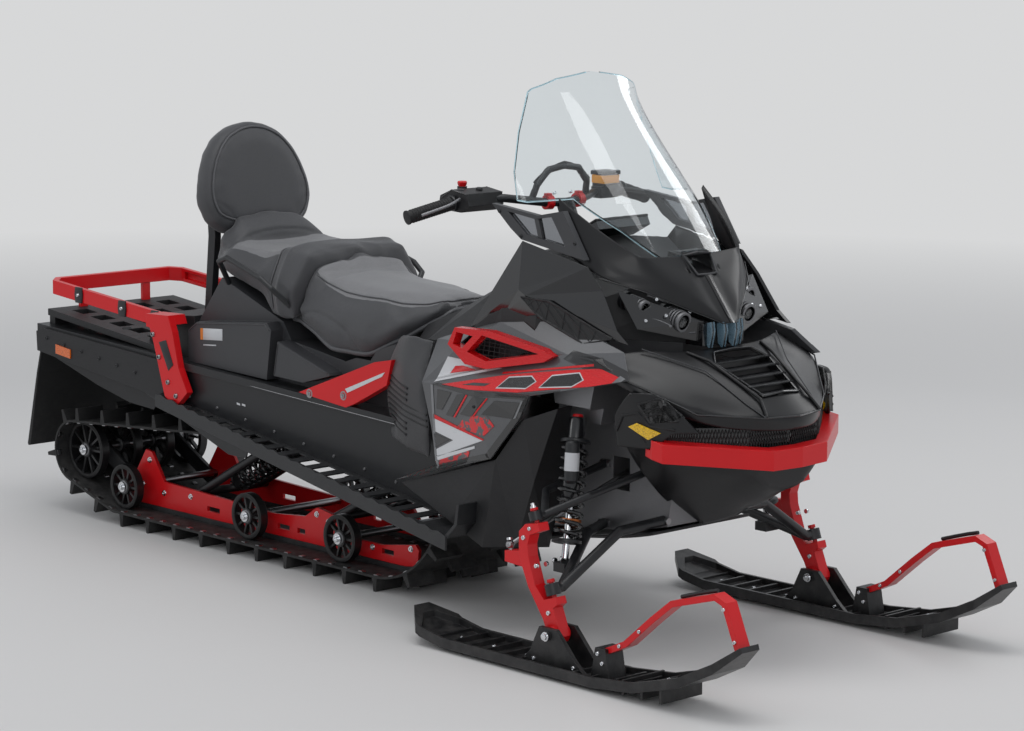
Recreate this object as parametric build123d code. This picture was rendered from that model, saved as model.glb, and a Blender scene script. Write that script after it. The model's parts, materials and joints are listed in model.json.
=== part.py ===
"""Two-up utility snowmobile: one STEP file per piece, in millimetres.

X forward, Y left, Z up, ground at z = 0.
"""

import os
from math import atan2, cos, degrees, hypot, pi, radians, sin, sqrt

from build123d import *

# ---------------------------------------------------------------- driving dimensions
LENGTH = 3260.0  # flap to ski tips
STANCE = 980.0  # ski centre to ski centre
SKI_W = 150.0
HEIGHT = 1450.0  # top of the windshield

TRACK_W = 500.0
BELT_T = 6.5
LUG_H = 38.0
LUG_ROWS = 61
LUG_T = 20.0
IDLER = (-1389.0, 199.0, 96.5)  # loop circles: x, z, outer belt radius
REAR_BEND = (-1180.0, LUG_H + 78.0, 78.0)
RAIL_BEND = (20.0, LUG_H + 280.0, 280.0)
DRIVE = (235.0, 322.0, 95.0)

SHAFT_R = 11.0
WHEEL_W = 26.0
BOGIES = (-1180.0, -586.0, -171.0)  # bogie axle places along the rails
BOGIE_Y = 200.0
IDLER_YS = (62.0, 190.0)
RAIL_Y = 150.0  # outer face of a rail plate
RAIL_T = 10.0
RUNNER_T = 14.0

TUNNEL_Y = 265.0
TUNNEL_T = 4.0
TUNNEL_REAR = -1545.0
TUNNEL_FRONT = 430.0
BOARD_REAR = (-900.0, 300.0, 440.0)  # outer edge of a running board: x, y, z
BOARD_FRONT = (500.0, 422.0, 252.0)
BOARD_T = 4.0
FLANGE_H = 34.0

BULKHEAD_Y = 128.0
KINGPIN_LOW = (971.0, STANCE / 2, 207.0)
KINGPIN_TOP = (916.0, STANCE / 2, 360.0)
STUD_R = 6.0
RUN_GAP = 0.05  # radial running clearance of a pin in its eye
SKI_PIVOT = (992.0, 98.0)
SKI_PIN_R = 6.0
ROD_R = 6.0
TIE_EYE_X = 826.0  # steering arm's eye, behind the kingpin
TIE_EYE_Z = 268.0

STEER_PIVOT = (520.0, 0.0, 1062.0)
STEER_TILT = 26.0  # degrees the post leans back
POST_R = 13.0

REAR_X = -LENGTH / 2
TIP_X = LENGTH / 2


# ---------------------------------------------------------------- helpers
def polygon(points):
    return Face(Wire.make_polygon([Vector(*p) for p in points], close=True))


def side(points, y0, y1):
    """Closed (x, z) outline carried across from y0 to y1."""
    return extrude(polygon([(x, y0, z) for x, z in points]), amount=y1 - y0, dir=(0, 1, 0))


def plan(points, z0, z1):
    """Closed (x, y) outline carried up from z0 to z1."""
    return extrude(polygon([(x, y, z0) for x, y in points]), amount=z1 - z0, dir=(0, 0, 1))


def front(points, x0, x1):
    """Closed (y, z) outline carried along from x0 to x1."""
    return extrude(polygon([(x0, y, z) for y, z in points]), amount=x1 - x0, dir=(1, 0, 0))


def block(x0, x1, y0, y1, z0, z1):
    return plan([(x0, y0), (x1, y0), (x1, y1), (x0, y1)], z0, z1)


def rod(a, b, r):
    a, b = Vector(*a), Vector(*b)
    return Part() + Solid.make_cylinder(r, (b - a).length, Plane(origin=a, z_dir=b - a))


def cone(a, b, ra, rb):
    a, b = Vector(*a), Vector(*b)
    return Part() + Solid.make_cone(ra, rb, (b - a).length, Plane(origin=a, z_dir=b - a))


def ball(c, r):
    return Pos(*c) * Sphere(r)


def across(x, z, r, y0, y1):
    return rod((x, y0, z), (x, y1, z), r)


def bar(points, r):
    """Round bar through points, a ball at each bend."""
    out = Part()
    for a, b in zip(points, points[1:]):
        out += rod(a, b, r)
    for p in points[1:-1]:
        out += ball(p, r)
    return out


def mid(a, b, t):
    return tuple(p + (q - p) * t for p, q in zip(a, b))


def flip(shape):
    return mirror(shape, about=Plane.XZ)


def both(shape):
    return shape + flip(shape)


def normal(p, q, r):
    n = (Vector(*q) - Vector(*p)).cross(Vector(*r) - Vector(*p))
    return n.normalized() if n.length > 1e-6 else n


def flat(ring):
    n = normal(*ring[:3])
    return all(abs((Vector(*p) - Vector(*ring[0])).dot(n)) < 1e-5 for p in ring[3:])


def closed(points, faces):
    """Solid from corner points and faces; a face that isn't flat is split in triangles."""
    out = []
    for face in faces:
        ring = [points[i] for i in face]
        if flat(ring):
            out.append(polygon(ring))
        else:
            out += [polygon([ring[0], ring[i], ring[i + 1]]) for i in range(1, len(ring) - 1)]
    return Part() + Solid(Shell(out))


def skin(points, faces, centre, share):
    """Sheet of faces thickened towards a centre by a share of the way there."""
    names = list(points)
    inner = {n + "_": mid(points[n], centre, share) for n in names}
    edges = {}
    for face in faces:
        for a, b in zip(face, face[1:] + face[:1]):
            edges[(a, b)] = True
    rim = [(a, b) for a, b in edges if (b, a) not in edges]
    allp = {**points, **inner}
    allf = [list(f) for f in faces]
    allf += [[n + "_" for n in reversed(tri)] for f in faces for tri in split(f, points)]
    allf = [t for f in allf[: len(faces)] for t in split(f, points)] + allf[len(faces):]
    allf += [[b, a, a + "_", b + "_"] for a, b in rim]
    return closed(allp, allf)


def split(face, points):
    face = list(face)
    if len(face) == 3 or flat([points[n] for n in face]):
        return [face]
    return [[face[0], face[i], face[i + 1]] for i in range(1, len(face) - 1)]


def mirrored(points, faces):
    """Corner points and faces of a half at y >= 0, with their mirror images."""
    other = {n: ("m" + n if points[n][1] else n) for n in points}
    both_ = dict(points)
    both_.update({other[n]: (x, -y, z) for n, (x, y, z) in points.items() if y})
    return both_, [list(f) for f in faces] + [[other[n] for n in reversed(f)] for f in faces]


def stations(sections):
    """Closed body mirrored about y = 0 from (x, half outline from bottom centre to top centre)."""
    points, rings = {}, []
    for i, (x, half) in enumerate(sections):
        ring = []
        loop = [(y, z) for y, z in half] + [(-y, z) for y, z in half[-2:0:-1]]
        for j, (y, z) in enumerate(loop):
            points[(i, j)] = (x, y, z)
            ring.append((i, j))
        rings.append(ring)
    faces = [rings[0], list(reversed(rings[-1]))]
    n = len(rings[0])
    for a, b in zip(rings, rings[1:]):
        for j in range(n):
            k = (j + 1) % n
            faces.append([a[k], a[j], b[j], b[k]])
    return closed(points, faces)


def save(name, shape):
    shape.label = name
    export_step(shape, f"parts/{name}.step")


# ---------------------------------------------------------------- track loop
def loop_path(circles, inset):
    """Lines and arcs of a belt round the circles, at a depth inside its outer face."""
    n = len(circles)
    normals = []
    for (x1, z1, r1), (x2, z2, r2) in zip(circles, circles[1:] + circles[:1]):
        dx, dz = x2 - x1, z2 - z1
        run = hypot(dx, dz)
        c = (r1 - r2) / run
        s = sqrt(1 - c * c)
        ux, uz = dx / run, dz / run
        normals.append((ux * c + uz * s, uz * c - ux * s))
    path = []
    for i in range(n):
        x, z, r = circles[i]
        r -= inset
        n0, n1 = normals[i - 1], normals[i]
        a0, a1 = atan2(n0[1], n0[0]), atan2(n1[1], n1[0])
        while a1 < a0:
            a1 += 2 * pi
        path.append(("arc", x, z, r, a0, a1))
        x2, z2, r2 = circles[(i + 1) % n]
        r2 -= inset
        path.append(("line", x + r * n1[0], z + r * n1[1], x2 + r2 * n1[0], z2 + r2 * n1[1]))
    return path


def loop_face(path, y):
    edges = []
    for seg in path:
        if seg[0] == "line":
            _, x0, z0, x1, z1 = seg
            edges.append(Edge.make_line((x0, y, z0), (x1, y, z1)))
        else:
            _, x, z, r, a0, a1 = seg
            spots = [(x + r * cos(a), y, z + r * sin(a)) for a in (a0, (a0 + a1) / 2, a1)]
            edges.append(Edge.make_three_point_arc(*spots))
    return Face(Wire(edges))


def loop_spots(path, count):
    """Evenly spaced (x, z, normal x, normal z) along the path."""
    lengths = [hypot(s[3] - s[1], s[4] - s[2]) if s[0] == "line" else s[3] * (s[5] - s[4]) for s in path]
    total = sum(lengths)
    spots = []
    for i in range(count):
        at = (i + 0.5) * total / count
        for seg, length in zip(path, lengths):
            if at <= length:
                break
            at -= length
        if seg[0] == "line":
            _, x0, z0, x1, z1 = seg
            t = at / length
            nx, nz = (z1 - z0) / length, -(x1 - x0) / length
            spots.append((x0 + (x1 - x0) * t, z0 + (z1 - z0) * t, nx, nz))
        else:
            _, x, z, r, a0, _ = seg
            a = a0 + at / r
            spots.append((x + r * cos(a), z + r * sin(a), cos(a), sin(a)))
    return spots


LOOP = (IDLER, REAR_BEND, RAIL_BEND, DRIVE)
BANDS = (  # y from, y to, on even rows, on odd rows
    (-TRACK_W / 2, -TRACK_W / 2 + 95.0, True, False),
    (-TRACK_W / 2 + 105.0, -TRACK_W / 2 + 200.0, False, True),
    (-48.0, 48.0, True, False),
    (TRACK_W / 2 - 200.0, TRACK_W / 2 - 105.0, False, True),
    (TRACK_W / 2 - 95.0, TRACK_W / 2, True, False),
)


def build_track():
    outer = loop_path(LOOP, 0.0)
    face = loop_face(outer, -TRACK_W / 2) - loop_face(loop_path(LOOP, BELT_T), -TRACK_W / 2)
    belt = extrude(face, amount=TRACK_W, dir=(0, 1, 0))
    lugs = []
    for row, (x, z, nx, nz) in enumerate(loop_spots(outer, LUG_ROWS)):
        tx, tz = -nz, nx
        shape = [(-LUG_T / 2, -1.0), (LUG_T / 2, -1.0), (LUG_T / 4, LUG_H), (-LUG_T / 4, LUG_H)]
        ring = [(x + tx * a + nx * b, z + tz * a + nz * b) for a, b in shape]
        for y0, y1, even, odd in BANDS:
            if (odd, even)[row % 2 == 0]:
                lugs.append(side(ring, y0, y1))
    return belt + lugs


def wheel(x, z, y, r):
    """Spoked roller with its axle along Y, centred on y."""
    w = WHEEL_W
    out = across(x, z, r, y - w / 2, y + w / 2) - across(x, z, r - 13, y - w / 2, y + w / 2)
    out += across(x, z, 24.0, y - w / 2, y + w / 2)
    for i in range(10):
        a = 2 * pi * i / 10
        spoke = Pos(x, y, z) * Rot(0, degrees(a), 0) * Pos(r / 2, 0, 0) * Box(r - 20, w * 0.5, 7)
        out += spoke
    return out - across(x, z, SHAFT_R + RUN_GAP, y - w, y + w)


BELT_IN = LUG_H + BELT_T  # inner face of the belt on the ground run
BOGIE_R = 68.0
BOGIE_Z = BELT_IN + BOGIE_R + 1.0
IDLER_R = IDLER[2] - BELT_T - 1.0


def rail_bottom(x):
    """Underside of the rail above its runner."""
    r = RAIL_BEND[2] - BELT_T - RUNNER_T - 0.5
    return RAIL_BEND[1] - sqrt(r * r - max(0.0, x - RAIL_BEND[0]) ** 2)


def build_rails():
    nose = [(x, rail_bottom(x)) for x in (20.0, 45.0, 68.0, 88.0)]
    ring = [(-1215.0, rail_bottom(-999.0))] + nose
    ring += [(95.0, 112.0), (80.0, 126.0), (-60.0, 104.0), (-99.0, 104.0), (-225.0, 104.0)]
    ring += [(-272.0, 157.0), (-342.0, 168.0), (-396.0, 134.0), (-534.0, 121.0), (-742.0, 128.0)]
    ring += [(-929.0, 134.0), (-1060.0, 138.0), (-1120.0, 222.0), (-1150.0, 226.0), (-1215.0, 130.0)]
    plate = side(ring, RAIL_Y - RAIL_T, RAIL_Y)
    for x0, x1 in ((-850.0, -790.0), (-520.0, -465.0), (-430.0, -395.0), (-60.0, -10.0)):
        plate -= block(x0, x1, 0, TRACK_W, 80.0, 95.0)
    for x in BOGIES:
        plate -= across(x, BOGIE_Z, SHAFT_R, 0, TRACK_W)
    return both(plate)


def build_runners():
    low = BELT_IN + 0.5
    r = RAIL_BEND[2] - BELT_T - 0.5

    def under(x):
        return RAIL_BEND[1] - sqrt(r * r - max(0.0, x - RAIL_BEND[0]) ** 2)

    nose = (20.0, 42.0, 64.0, 84.0)
    ring = [(-1184.0, low)] + [(x, under(x)) for x in nose]
    ring += [(x, rail_bottom(x) - 0.4) for x in reversed(nose)] + [(-1184.0, rail_bottom(-999.0))]
    return both(side(ring, RAIL_Y - RAIL_T - 4, RAIL_Y + 4))


def build_idlers():
    out = Part()
    for y in IDLER_YS:
        out += wheel(IDLER[0], IDLER[1], y, IDLER_R)
        out += wheel(IDLER[0], IDLER[1], -y, IDLER_R)
    return out


def build_bogies():
    out = Part()
    for x in BOGIES:
        for y in (BOGIE_Y, -BOGIE_Y):
            out += wheel(x, BOGIE_Z, y, BOGIE_R)
    return out


def build_shafts():
    out = across(IDLER[0], IDLER[1], SHAFT_R, -IDLER_YS[1] - 22, IDLER_YS[1] + 22)
    for x in BOGIES:
        out += across(x, BOGIE_Z, SHAFT_R, -BOGIE_Y - 20, BOGIE_Y + 20)
    return out


ARM_FRONT = ((70.0, 330.0), (-300.0, 140.0))  # front torque arm: tunnel end, rail end
ARM_REAR = ((-560.0, 322.0), (-930.0, 118.0))


def build_skid_arms():
    out = Part()
    for top, foot in (ARM_FRONT, ARM_REAR):
        legs = rod((top[0], 118, top[1]), (foot[0], 118, foot[1]), 13.0)
        out += both(legs)
        out += across(foot[0], foot[1], 13.0, -RAIL_Y + RAIL_T, RAIL_Y - RAIL_T)
        out += across(top[0], top[1], 14.0, -TUNNEL_Y + TUNNEL_T, TUNNEL_Y - TUNNEL_T)
    tail = side([(-1200.0, 75.0), (-1165.0, 110.0), (-1380.0, 222.0), (-1410.0, 205.0), (-1400.0, 178.0)],
                RAIL_Y - RAIL_T - 12, RAIL_Y - RAIL_T)
    return out + both(tail)


def coil_over(top, foot, r_coil, r_body, turns):
    """Shock absorber: body, rod, eyes' ends and a spring as a grooved sleeve."""
    out = rod(top, mid(top, foot, 0.55), r_body) + rod(mid(top, foot, 0.5), foot, r_body * 0.45)
    start, stop = mid(top, foot, 0.18), mid(top, foot, 0.84)
    out += rod(mid(top, foot, 0.14), start, r_coil) + rod(stop, mid(top, foot, 0.88), r_coil)
    for i in range(turns):
        a = mid(start, stop, (i + 0.1) / turns)
        b = mid(start, stop, (i + 0.5) / turns)
        c = mid(start, stop, (i + 0.9) / turns)
        out += cone(a, b, r_body + 1, r_coil) + cone(b, c, r_coil, r_body + 1)
    return out


SHOCK_TOP = (854.0, 292.0, 600.0)
SHOCK_FOOT = (905.0, 385.0, 247.0)
SKID_SHOCKS = (((-60.0, 0.0, 318.0), (-300.0, 0.0, 152.0)), ((-560.0, 0.0, 300.0), (-930.0, 0.0, 130.0)))


def build_drive():
    out = across(DRIVE[0], DRIVE[1], 14.0, -TUNNEL_Y + TUNNEL_T, TUNNEL_Y - TUNNEL_T)
    for y in (-150.0, 0.0, 150.0):
        out += across(DRIVE[0], DRIVE[1], DRIVE[2] - BELT_T - 1.0, y - 22, y + 22)
    return out


# ---------------------------------------------------------------- tunnel and boards
def tunnel_top(x):
    return 543.0 - 0.0463 * (x + 709.0)


def board_z(x):
    """Outer edge height of a running board at x."""
    t = (x - BOARD_REAR[0]) / (BOARD_FRONT[0] - BOARD_REAR[0])
    return BOARD_REAR[2] + t * (BOARD_FRONT[2] - BOARD_REAR[2])


def board_y(x):
    t = (x - BOARD_REAR[0]) / (BOARD_FRONT[0] - BOARD_REAR[0])
    return BOARD_REAR[1] + t * (BOARD_FRONT[1] - BOARD_REAR[1])


def build_tunnel():
    rear, fore = TUNNEL_REAR, TUNNEL_FRONT
    low = [(fore, board_z(fore)), (BOARD_REAR[0], board_z(BOARD_REAR[0])), (-940.0, 432.0), (rear, 505.0)]
    ring = [(rear, tunnel_top(rear)), (fore, tunnel_top(fore))] + low
    shell = side(ring, -TUNNEL_Y, TUNNEL_Y)
    drop = TUNNEL_T
    ring_in = [(rear - 1, tunnel_top(rear) - drop), (fore + 1, tunnel_top(fore) - drop),
               (fore + 1, 100.0), (rear - 1, 100.0)]
    shell -= side(ring_in, -TUNNEL_Y + TUNNEL_T, TUNNEL_Y - TUNNEL_T)
    hanger = side([(-1020.0, 440.0), (-880.0, 440.0), (-500.0, 372.0), (-520.0, 300.0), (-600.0, 300.0)],
                  TUNNEL_Y - TUNNEL_T, TUNNEL_Y)
    ledge = side([(-860.0, tunnel_top(-860) - 22), (-860.0, tunnel_top(-860)), (150.0, tunnel_top(150)),
                  (150.0, tunnel_top(150) - 22)], TUNNEL_Y, TUNNEL_Y + 12)
    end = block(rear, rear + TUNNEL_T, -TUNNEL_Y, TUNNEL_Y, 505.0, tunnel_top(rear))
    return shell + both(hanger) + both(ledge) + end


def build_boards():
    x0, x1 = BOARD_REAR[0], BOARD_FRONT[0]
    slab = side([(x0, board_z(x0) - BOARD_T), (x1, board_z(x1) - BOARD_T), (x1, board_z(x1)),
                 (x0, board_z(x0))],
                TUNNEL_Y, BOARD_FRONT[1])
    floor = slab & plan([(x0, TUNNEL_Y), (x1, TUNNEL_Y), (x1, board_y(x1)), (x0, board_y(x0))], 0, HEIGHT)
    teeth = [(x0, board_z(x0) - FLANGE_H), (x1, board_z(x1) - FLANGE_H)]
    count = 48
    for i in range(count, -1, -1):
        x = x0 + (x1 - x0) * i / count
        teeth.append((x, board_z(x) + (9.0 if i % 2 else 3.0)))
    band = side(teeth, TUNNEL_Y, BOARD_FRONT[1] + 1)
    strip = plan([(x0, board_y(x0) - 6), (x1, board_y(x1) - 6), (x1, board_y(x1)), (x0, board_y(x0))], 0,
                 HEIGHT)
    out = floor + (band & strip)
    for i in range(18):
        x = x0 + 110 + i * 66.0
        y = (TUNNEL_Y + board_y(x)) / 2
        wide = (board_y(x) - TUNNEL_Y) * 0.32
        out -= block(x, x + 38, y - wide, y + wide, 0, HEIGHT)
    toe = side([(430.0, board_z(430.0) - 2), (500.0, board_z(500.0) - 2), (540.0, 290.0), (548.0, 345.0),
                (540.0, 345.0), (530.0, 292.0), (492.0, board_z(492.0) + 2), (430.0, board_z(430.0) + 2)],
               TUNNEL_Y + 30, BOARD_FRONT[1] - 4)
    return both(out + toe)


def build_rear_panels():
    ring = [(-1532.0, 500.0), (-935.0, 430.0), (-880.0, 452.0), (-850.0, 536.0), (-905.0, 540.0),
            (-1500.0, 572.0), (-1536.0, 560.0)]
    panel = side(ring, TUNNEL_Y, TUNNEL_Y + 11)
    lower = side([(-1500.0, 496.0), (-930.0, 429.0), (-960.0, 385.0), (-1080.0, 392.0), (-1240.0, 425.0)],
                 TUNNEL_Y - TUNNEL_T - 4, TUNNEL_Y - TUNNEL_T)
    return both(panel + lower)


def build_rear_reflectors():
    ring = [(-1430.0, 530.0), (-1355.0, 522.0), (-1355.0, 494.0), (-1430.0, 502.0)]
    return both(side(ring, TUNNEL_Y + 11, TUNNEL_Y + 15))


def build_tail_lamp():
    return block(TUNNEL_REAR - 26, TUNNEL_REAR, -150, 150, 555, 590)


def build_deck():
    top = [(-1520.0, 628.0), (-900.0, 566.0), (-900.0, 548.0), (-1520.0, 608.0)]
    out = side(top, -242, 242)
    out += side([(-1528.0, tunnel_top(-1528)), (-1528.0, 612.0), (-1500.0, 612.0),
                 (-1500.0, tunnel_top(-1500))],
                -230, 230)
    for x in (-1380.0, -1180.0, -990.0):
        foot = side([(x - 14, tunnel_top(x - 14)), (x - 14, 600.0), (x + 14, 580.0),
                     (x + 14, tunnel_top(x + 14))],
                    170, 200)
        out += both(foot)
    for i in range(5):
        x = -1470.0 + i * 95
        for y in (-160.0, -60.0, 60.0, 160.0):
            out -= block(x, x + 58, y - 28, y + 28, 540, 700)
    out += side([(-1040.0, 575.0), (-1010.0, 662.0), (-820.0, 676.0), (-800.0, 545.0), (-900.0, 552.0)], -215,
                215)
    return out


RACK_REAR = -1512.0
RACK_FRONT = -880.0
RACK_Y = 252.0
RACK_H = 42.0
RACK_T = 16.0


def rack_z(x):
    return 724.0 - (x - RACK_REAR) * (724.0 - 676.0) / (-939.0 - RACK_REAR)


def build_rack():
    x0, x1 = RACK_REAR, RACK_FRONT
    band = side([(x0, rack_z(x0) - RACK_H), (x1, rack_z(x1) - RACK_H), (x1, rack_z(x1)), (x0, rack_z(x0))],
                -RACK_Y, RACK_Y)
    t = RACK_T
    outline = plan([(x1, -RACK_Y), (x1, RACK_Y), (x0 + 34, RACK_Y), (x0, RACK_Y - 34), (x0, -RACK_Y + 34),
                    (x0 + 34, -RACK_Y)], 500, 900)
    hole = plan([(x1 + 1, -RACK_Y + t), (x1 + 1, RACK_Y - t), (x0 + t + 28, RACK_Y - t),
                 (x0 + t, RACK_Y - t - 28),
                 (x0 + t, -RACK_Y + t + 28), (x0 + t + 28, -RACK_Y + t)], 500, 900)
    rail = (band & outline) - hole
    back = x0 + 60
    groove = [(back, rack_z(back) - 33), (x1, rack_z(x1) - 33), (x1, rack_z(x1) - 9),
              (back, rack_z(back) - 9)]
    rail -= both(side(groove, RACK_Y - t - 1, RACK_Y - 5))
    leg = side([(-942.0, 678.0), (-838.0, 682.0), (-816.0, 635.0), (-789.0, 534.0), (-749.0, 465.0),
                (-805.0, 415.0),
                (-856.0, 443.0), (-908.0, 599.0)], TUNNEL_Y + 12, TUNNEL_Y + 34)
    cap = side([(-942.0, 640.0), (-942.0, 678.0), (-838.0, 682.0), (-826.0, 655.0), (-920.0, 638.0)],
               RACK_Y - t, TUNNEL_Y + 34)
    post = []
    for y in (-120.0, 120.0):
        post.append(block(RACK_REAR + 2, RACK_REAR + t - 2, y - 14, y + 14, 600,
                          rack_z(RACK_REAR) - RACK_H + 4))
    return rail + both(leg + cap) + post


def build_flap():
    ring = [(-1552.0, 516.0), (-1545.0, 516.0), (-1545.0, 500.0), (-1566.0, 424.0), (REAR_X + 14, 188.0),
            (REAR_X + 4, 186.0), (REAR_X, 192.0), (-1574.0, 424.0), (-1552.0, 500.0)]
    return side(ring, -250, 250)


HITCH_BORE_R = 9.0
HITCH_X = -1600.0


def build_hitch():
    tongue = plan([(TUNNEL_REAR, -60), (TUNNEL_REAR, 60), (-1580.0, 30), (-1622.0, 24), (-1622.0, -24),
                   (-1580.0, -30)],
                  520, 530)
    return tongue - rod((HITCH_X, 0, 500), (HITCH_X, 0, 640), HITCH_BORE_R)


# ---------------------------------------------------------------- seats and rear body
def build_seat_base():
    ring = [(-850.0, tunnel_top(-850)), (-850.0, 640.0), (-812.0, 658.0), (-700.0, 800.0), (-420.0, 700.0),
            (-386.0, 650.0), (-150.0, 618.0), (60.0, 690.0), (90.0, tunnel_top(90))]
    return side(ring, -205, 205)


def build_side_boxes():
    box = side([(-800.0, 548.0), (-800.0, 640.0), (-760.0, 668.0), (-440.0, 700.0), (-420.0, 680.0),
                (-440.0, 536.0)],
               205, 252)
    wedge = side([(-404.0, 552.0), (-386.0, 652.0), (-166.0, 588.0), (-160.0, 580.0), (-276.0, 548.0)], 205,
                 255)
    return both(box + wedge)


def build_driver_seat():
    return stations([
        (-440.0, [(0, 705), (170, 712), (200, 770), (150, 845), (0, 866)]),
        (-330.0, [(0, 690), (208, 690), (236, 745), (168, 832), (0, 846)]),
        (-190.0, [(0, 660), (218, 634), (243, 700), (172, 812), (0, 833)]),
        (-45.0, [(0, 660), (205, 632), (232, 690), (160, 806), (0, 826)]),
        (50.0, [(0, 690), (160, 690), (192, 738), (135, 800), (0, 821)]),
        (128.0, [(0, 762), (82, 765), (106, 788), (80, 808), (0, 813)]),
    ])


def build_passenger_seat():
    seat = stations([
        (-770.0, [(0, 812), (150, 815), (185, 850), (165, 890), (0, 896)]),
        (-690.0, [(0, 806), (200, 806), (228, 855), (188, 896), (0, 884)]),
        (-520.0, [(0, 770), (212, 772), (240, 828), (175, 886), (0, 876)]),
        (-448.0, [(0, 740), (225, 715), (248, 800), (186, 906), (0, 905)]),
        (-340.0, [(0, 872), (232, 712), (252, 798), (186, 904), (0, 920)]),
    ])
    lumbar = stations([
        (-764.0, [(0, 880), (172, 885), (180, 905), (112, 976), (0, 988)]),
        (-730.0, [(0, 880), (188, 885), (194, 902), (118, 968), (0, 980)]),
        (-680.0, [(0, 880), (180, 885), (182, 892), (112, 924), (0, 932)]),
    ])
    return seat + lumbar


BACKREST_X = -817.0  # middle of the pad at its pivot's height
BACKREST_Z = 1070.0
BACKREST_T = 84.0
BACKREST_LEAN = 12.0


def build_backrest():
    half = [(0, 905), (130, 905), (182, 945), (205, 1000), (202, 1055), (184, 1110), (158, 1160), (118, 1204),
            (60, 1233),
            (0, 1243)]
    ring = half + [(-y, z) for y, z in half[-2:0:-1]]
    pad = front(ring, -BACKREST_T / 2, BACKREST_T / 2)
    pad = chamfer(pad.faces().sort_by(Axis.X)[-1].edges(), 20)
    return Pos(BACKREST_X, 0, BACKREST_Z) * Rot(0, -BACKREST_LEAN, 0) * Pos(0, 0, -BACKREST_Z) * pad


def build_backrest_posts():
    rear = BACKREST_X - BACKREST_T / 2
    post = side([(rear - 40, 640.0), (rear - 12, 640.0), (rear + 16, 900.0), (rear - 2, 1130.0),
                 (rear - 30, 1130.0),
                 (rear - 16, 900.0)], 95, 117)
    out = both(post) + side([(rear - 34, 1060.0), (rear - 6, 1060.0), (rear - 12, 1112.0),
                             (rear - 34, 1112.0)], -95, 95)
    return out


def build_grab_handles():
    spots = [(-655.0, 215.0, 790.0), (-612.0, 284.0, 862.0), (-570.0, 290.0, 876.0), (-420.0, 290.0, 832.0),
             (-378.0, 284.0, 806.0), (-350.0, 225.0, 745.0)]
    return both(bar(spots, 8.0))


def build_seat_braces():
    ring = [(-262.0, 526.0), (-60.0, 508.0), (-20.0, 524.0), (110.0, 590.0), (130.0, 662.0), (60.0, 648.0)]
    return both(side(ring, 252, 282))


# ---------------------------------------------------------------- body
def build_knee_pads():
    p = {
        "a0": (85.0, 205.0, 724.0), "a1": (66.0, 240.0, 640.0), "a2": (84.0, 262.0, 540.0), "a3": (118.0,
                                                                                                   272.0,
                                                                                                   440.0),
        "b0": (190.0, 262.0, 742.0), "b1": (200.0, 305.0, 650.0), "b2": (225.0, 318.0, 540.0), "b3": (235.0,
                                                                                                      322.0,
                                                                                                      430.0),
        "c0": (298.0, 275.0, 735.0), "c1": (322.0, 340.0, 636.0), "c2": (355.0, 345.0, 520.0), "c3": (350.0,
                                                                                                      338.0,
                                                                                                      424.0),
    }
    f = [["a1", "a0", "b0", "b1"], ["a2", "a1", "b1", "b2"], ["a3", "a2", "b2", "b3"],
         ["b1", "b0", "c0", "c1"], ["b2", "b1", "c1", "c2"], ["b3", "b2", "c2", "c3"]]
    return both(skin(p, f, (260.0, 0.0, 590.0), 0.06))


def build_console():
    shell = stations([
        (95.0, [(0, 560), (190, 560), (205, 640), (120, 740), (0, 752)]),
        (240.0, [(0, 560), (255, 560), (262, 720), (120, 800), (0, 815)]),
        (420.0, [(0, 600), (268, 600), (266, 770), (130, 890), (0, 925)]),
        (560.0, [(0, 700), (290, 700), (280, 860), (150, 985), (0, 1000)]),
        (700.0, [(0, 760), (304, 760), (284, 900), (190, 1010), (0, 1030)]),
        (860.0, [(0, 800), (240, 800), (200, 900), (120, 960), (0, 975)]),
        (960.0, [(0, 790), (120, 790), (110, 870), (70, 960), (0, 972)]),
        (1026.0, [(0, 788), (70, 788), (72, 800), (60, 838), (0, 840)]),
    ])
    bush = rod(steer(0, 0, -110.0), steer(0, 0, -32.0), 26.0)
    return shell + bush - rod(steer(0, 0, -86.0), steer(0, 0, 0), POST_R + RUN_GAP)


def build_side_panels():
    p = {
        "top_r": (300.0, 268.0, 738.0), "ridge": (329.0, 350.0, 634.0), "ridge_l": (368.0, 352.0, 519.0),
        "ridge_e": (389.0, 352.0, 419.0), "tip": (226.0, 352.0, 357.0), "low_m": (625.0, 380.0, 472.0),
        "low_f": (735.0, 382.0, 592.0), "crease": (775.0, 388.0, 655.0), "nose": (1096.0, 356.0, 730.0),
        "crease_m": (560.0, 378.0, 642.0), "vent_r": (456.0, 318.0, 752.0), "vent_l": (600.0, 325.0, 704.0),
        "vent_f": (846.0, 325.0, 764.0), "vent_t": (560.0, 285.0, 812.0), "top_m": (420.0, 262.0, 778.0),
        "top_f": (800.0, 290.0, 840.0), "front": (1040.0, 318.0, 790.0),
    }
    f = [["ridge", "top_r", "vent_r"], ["top_r", "top_m", "vent_r"], ["top_m", "vent_t", "vent_r"],
         ["ridge", "vent_r", "vent_l", "crease_m"], ["crease_m", "vent_l", "crease"], ["vent_l", "vent_f",
                                                                                       "crease"],
         ["vent_f", "nose", "crease"], ["vent_t", "top_f", "vent_f"], ["top_f", "front", "vent_f"],
         ["vent_f", "front", "nose"], ["ridge_l", "ridge", "crease_m"], ["ridge_l", "crease_m", "low_m"],
         ["crease_m", "crease", "low_f"], ["crease_m", "low_f", "low_m"], ["ridge_e", "ridge_l", "low_m"],
         ["tip", "ridge_e", "low_m"],
         ["vent_r", "vent_t", "vent_f", "vent_l"]]
    panel = skin(p, f, (640.0, 0.0, 620.0), 0.02)
    for hole in VENT_HOLES:
        panel -= side(hole, 200, 400)
    return both(panel)


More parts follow.
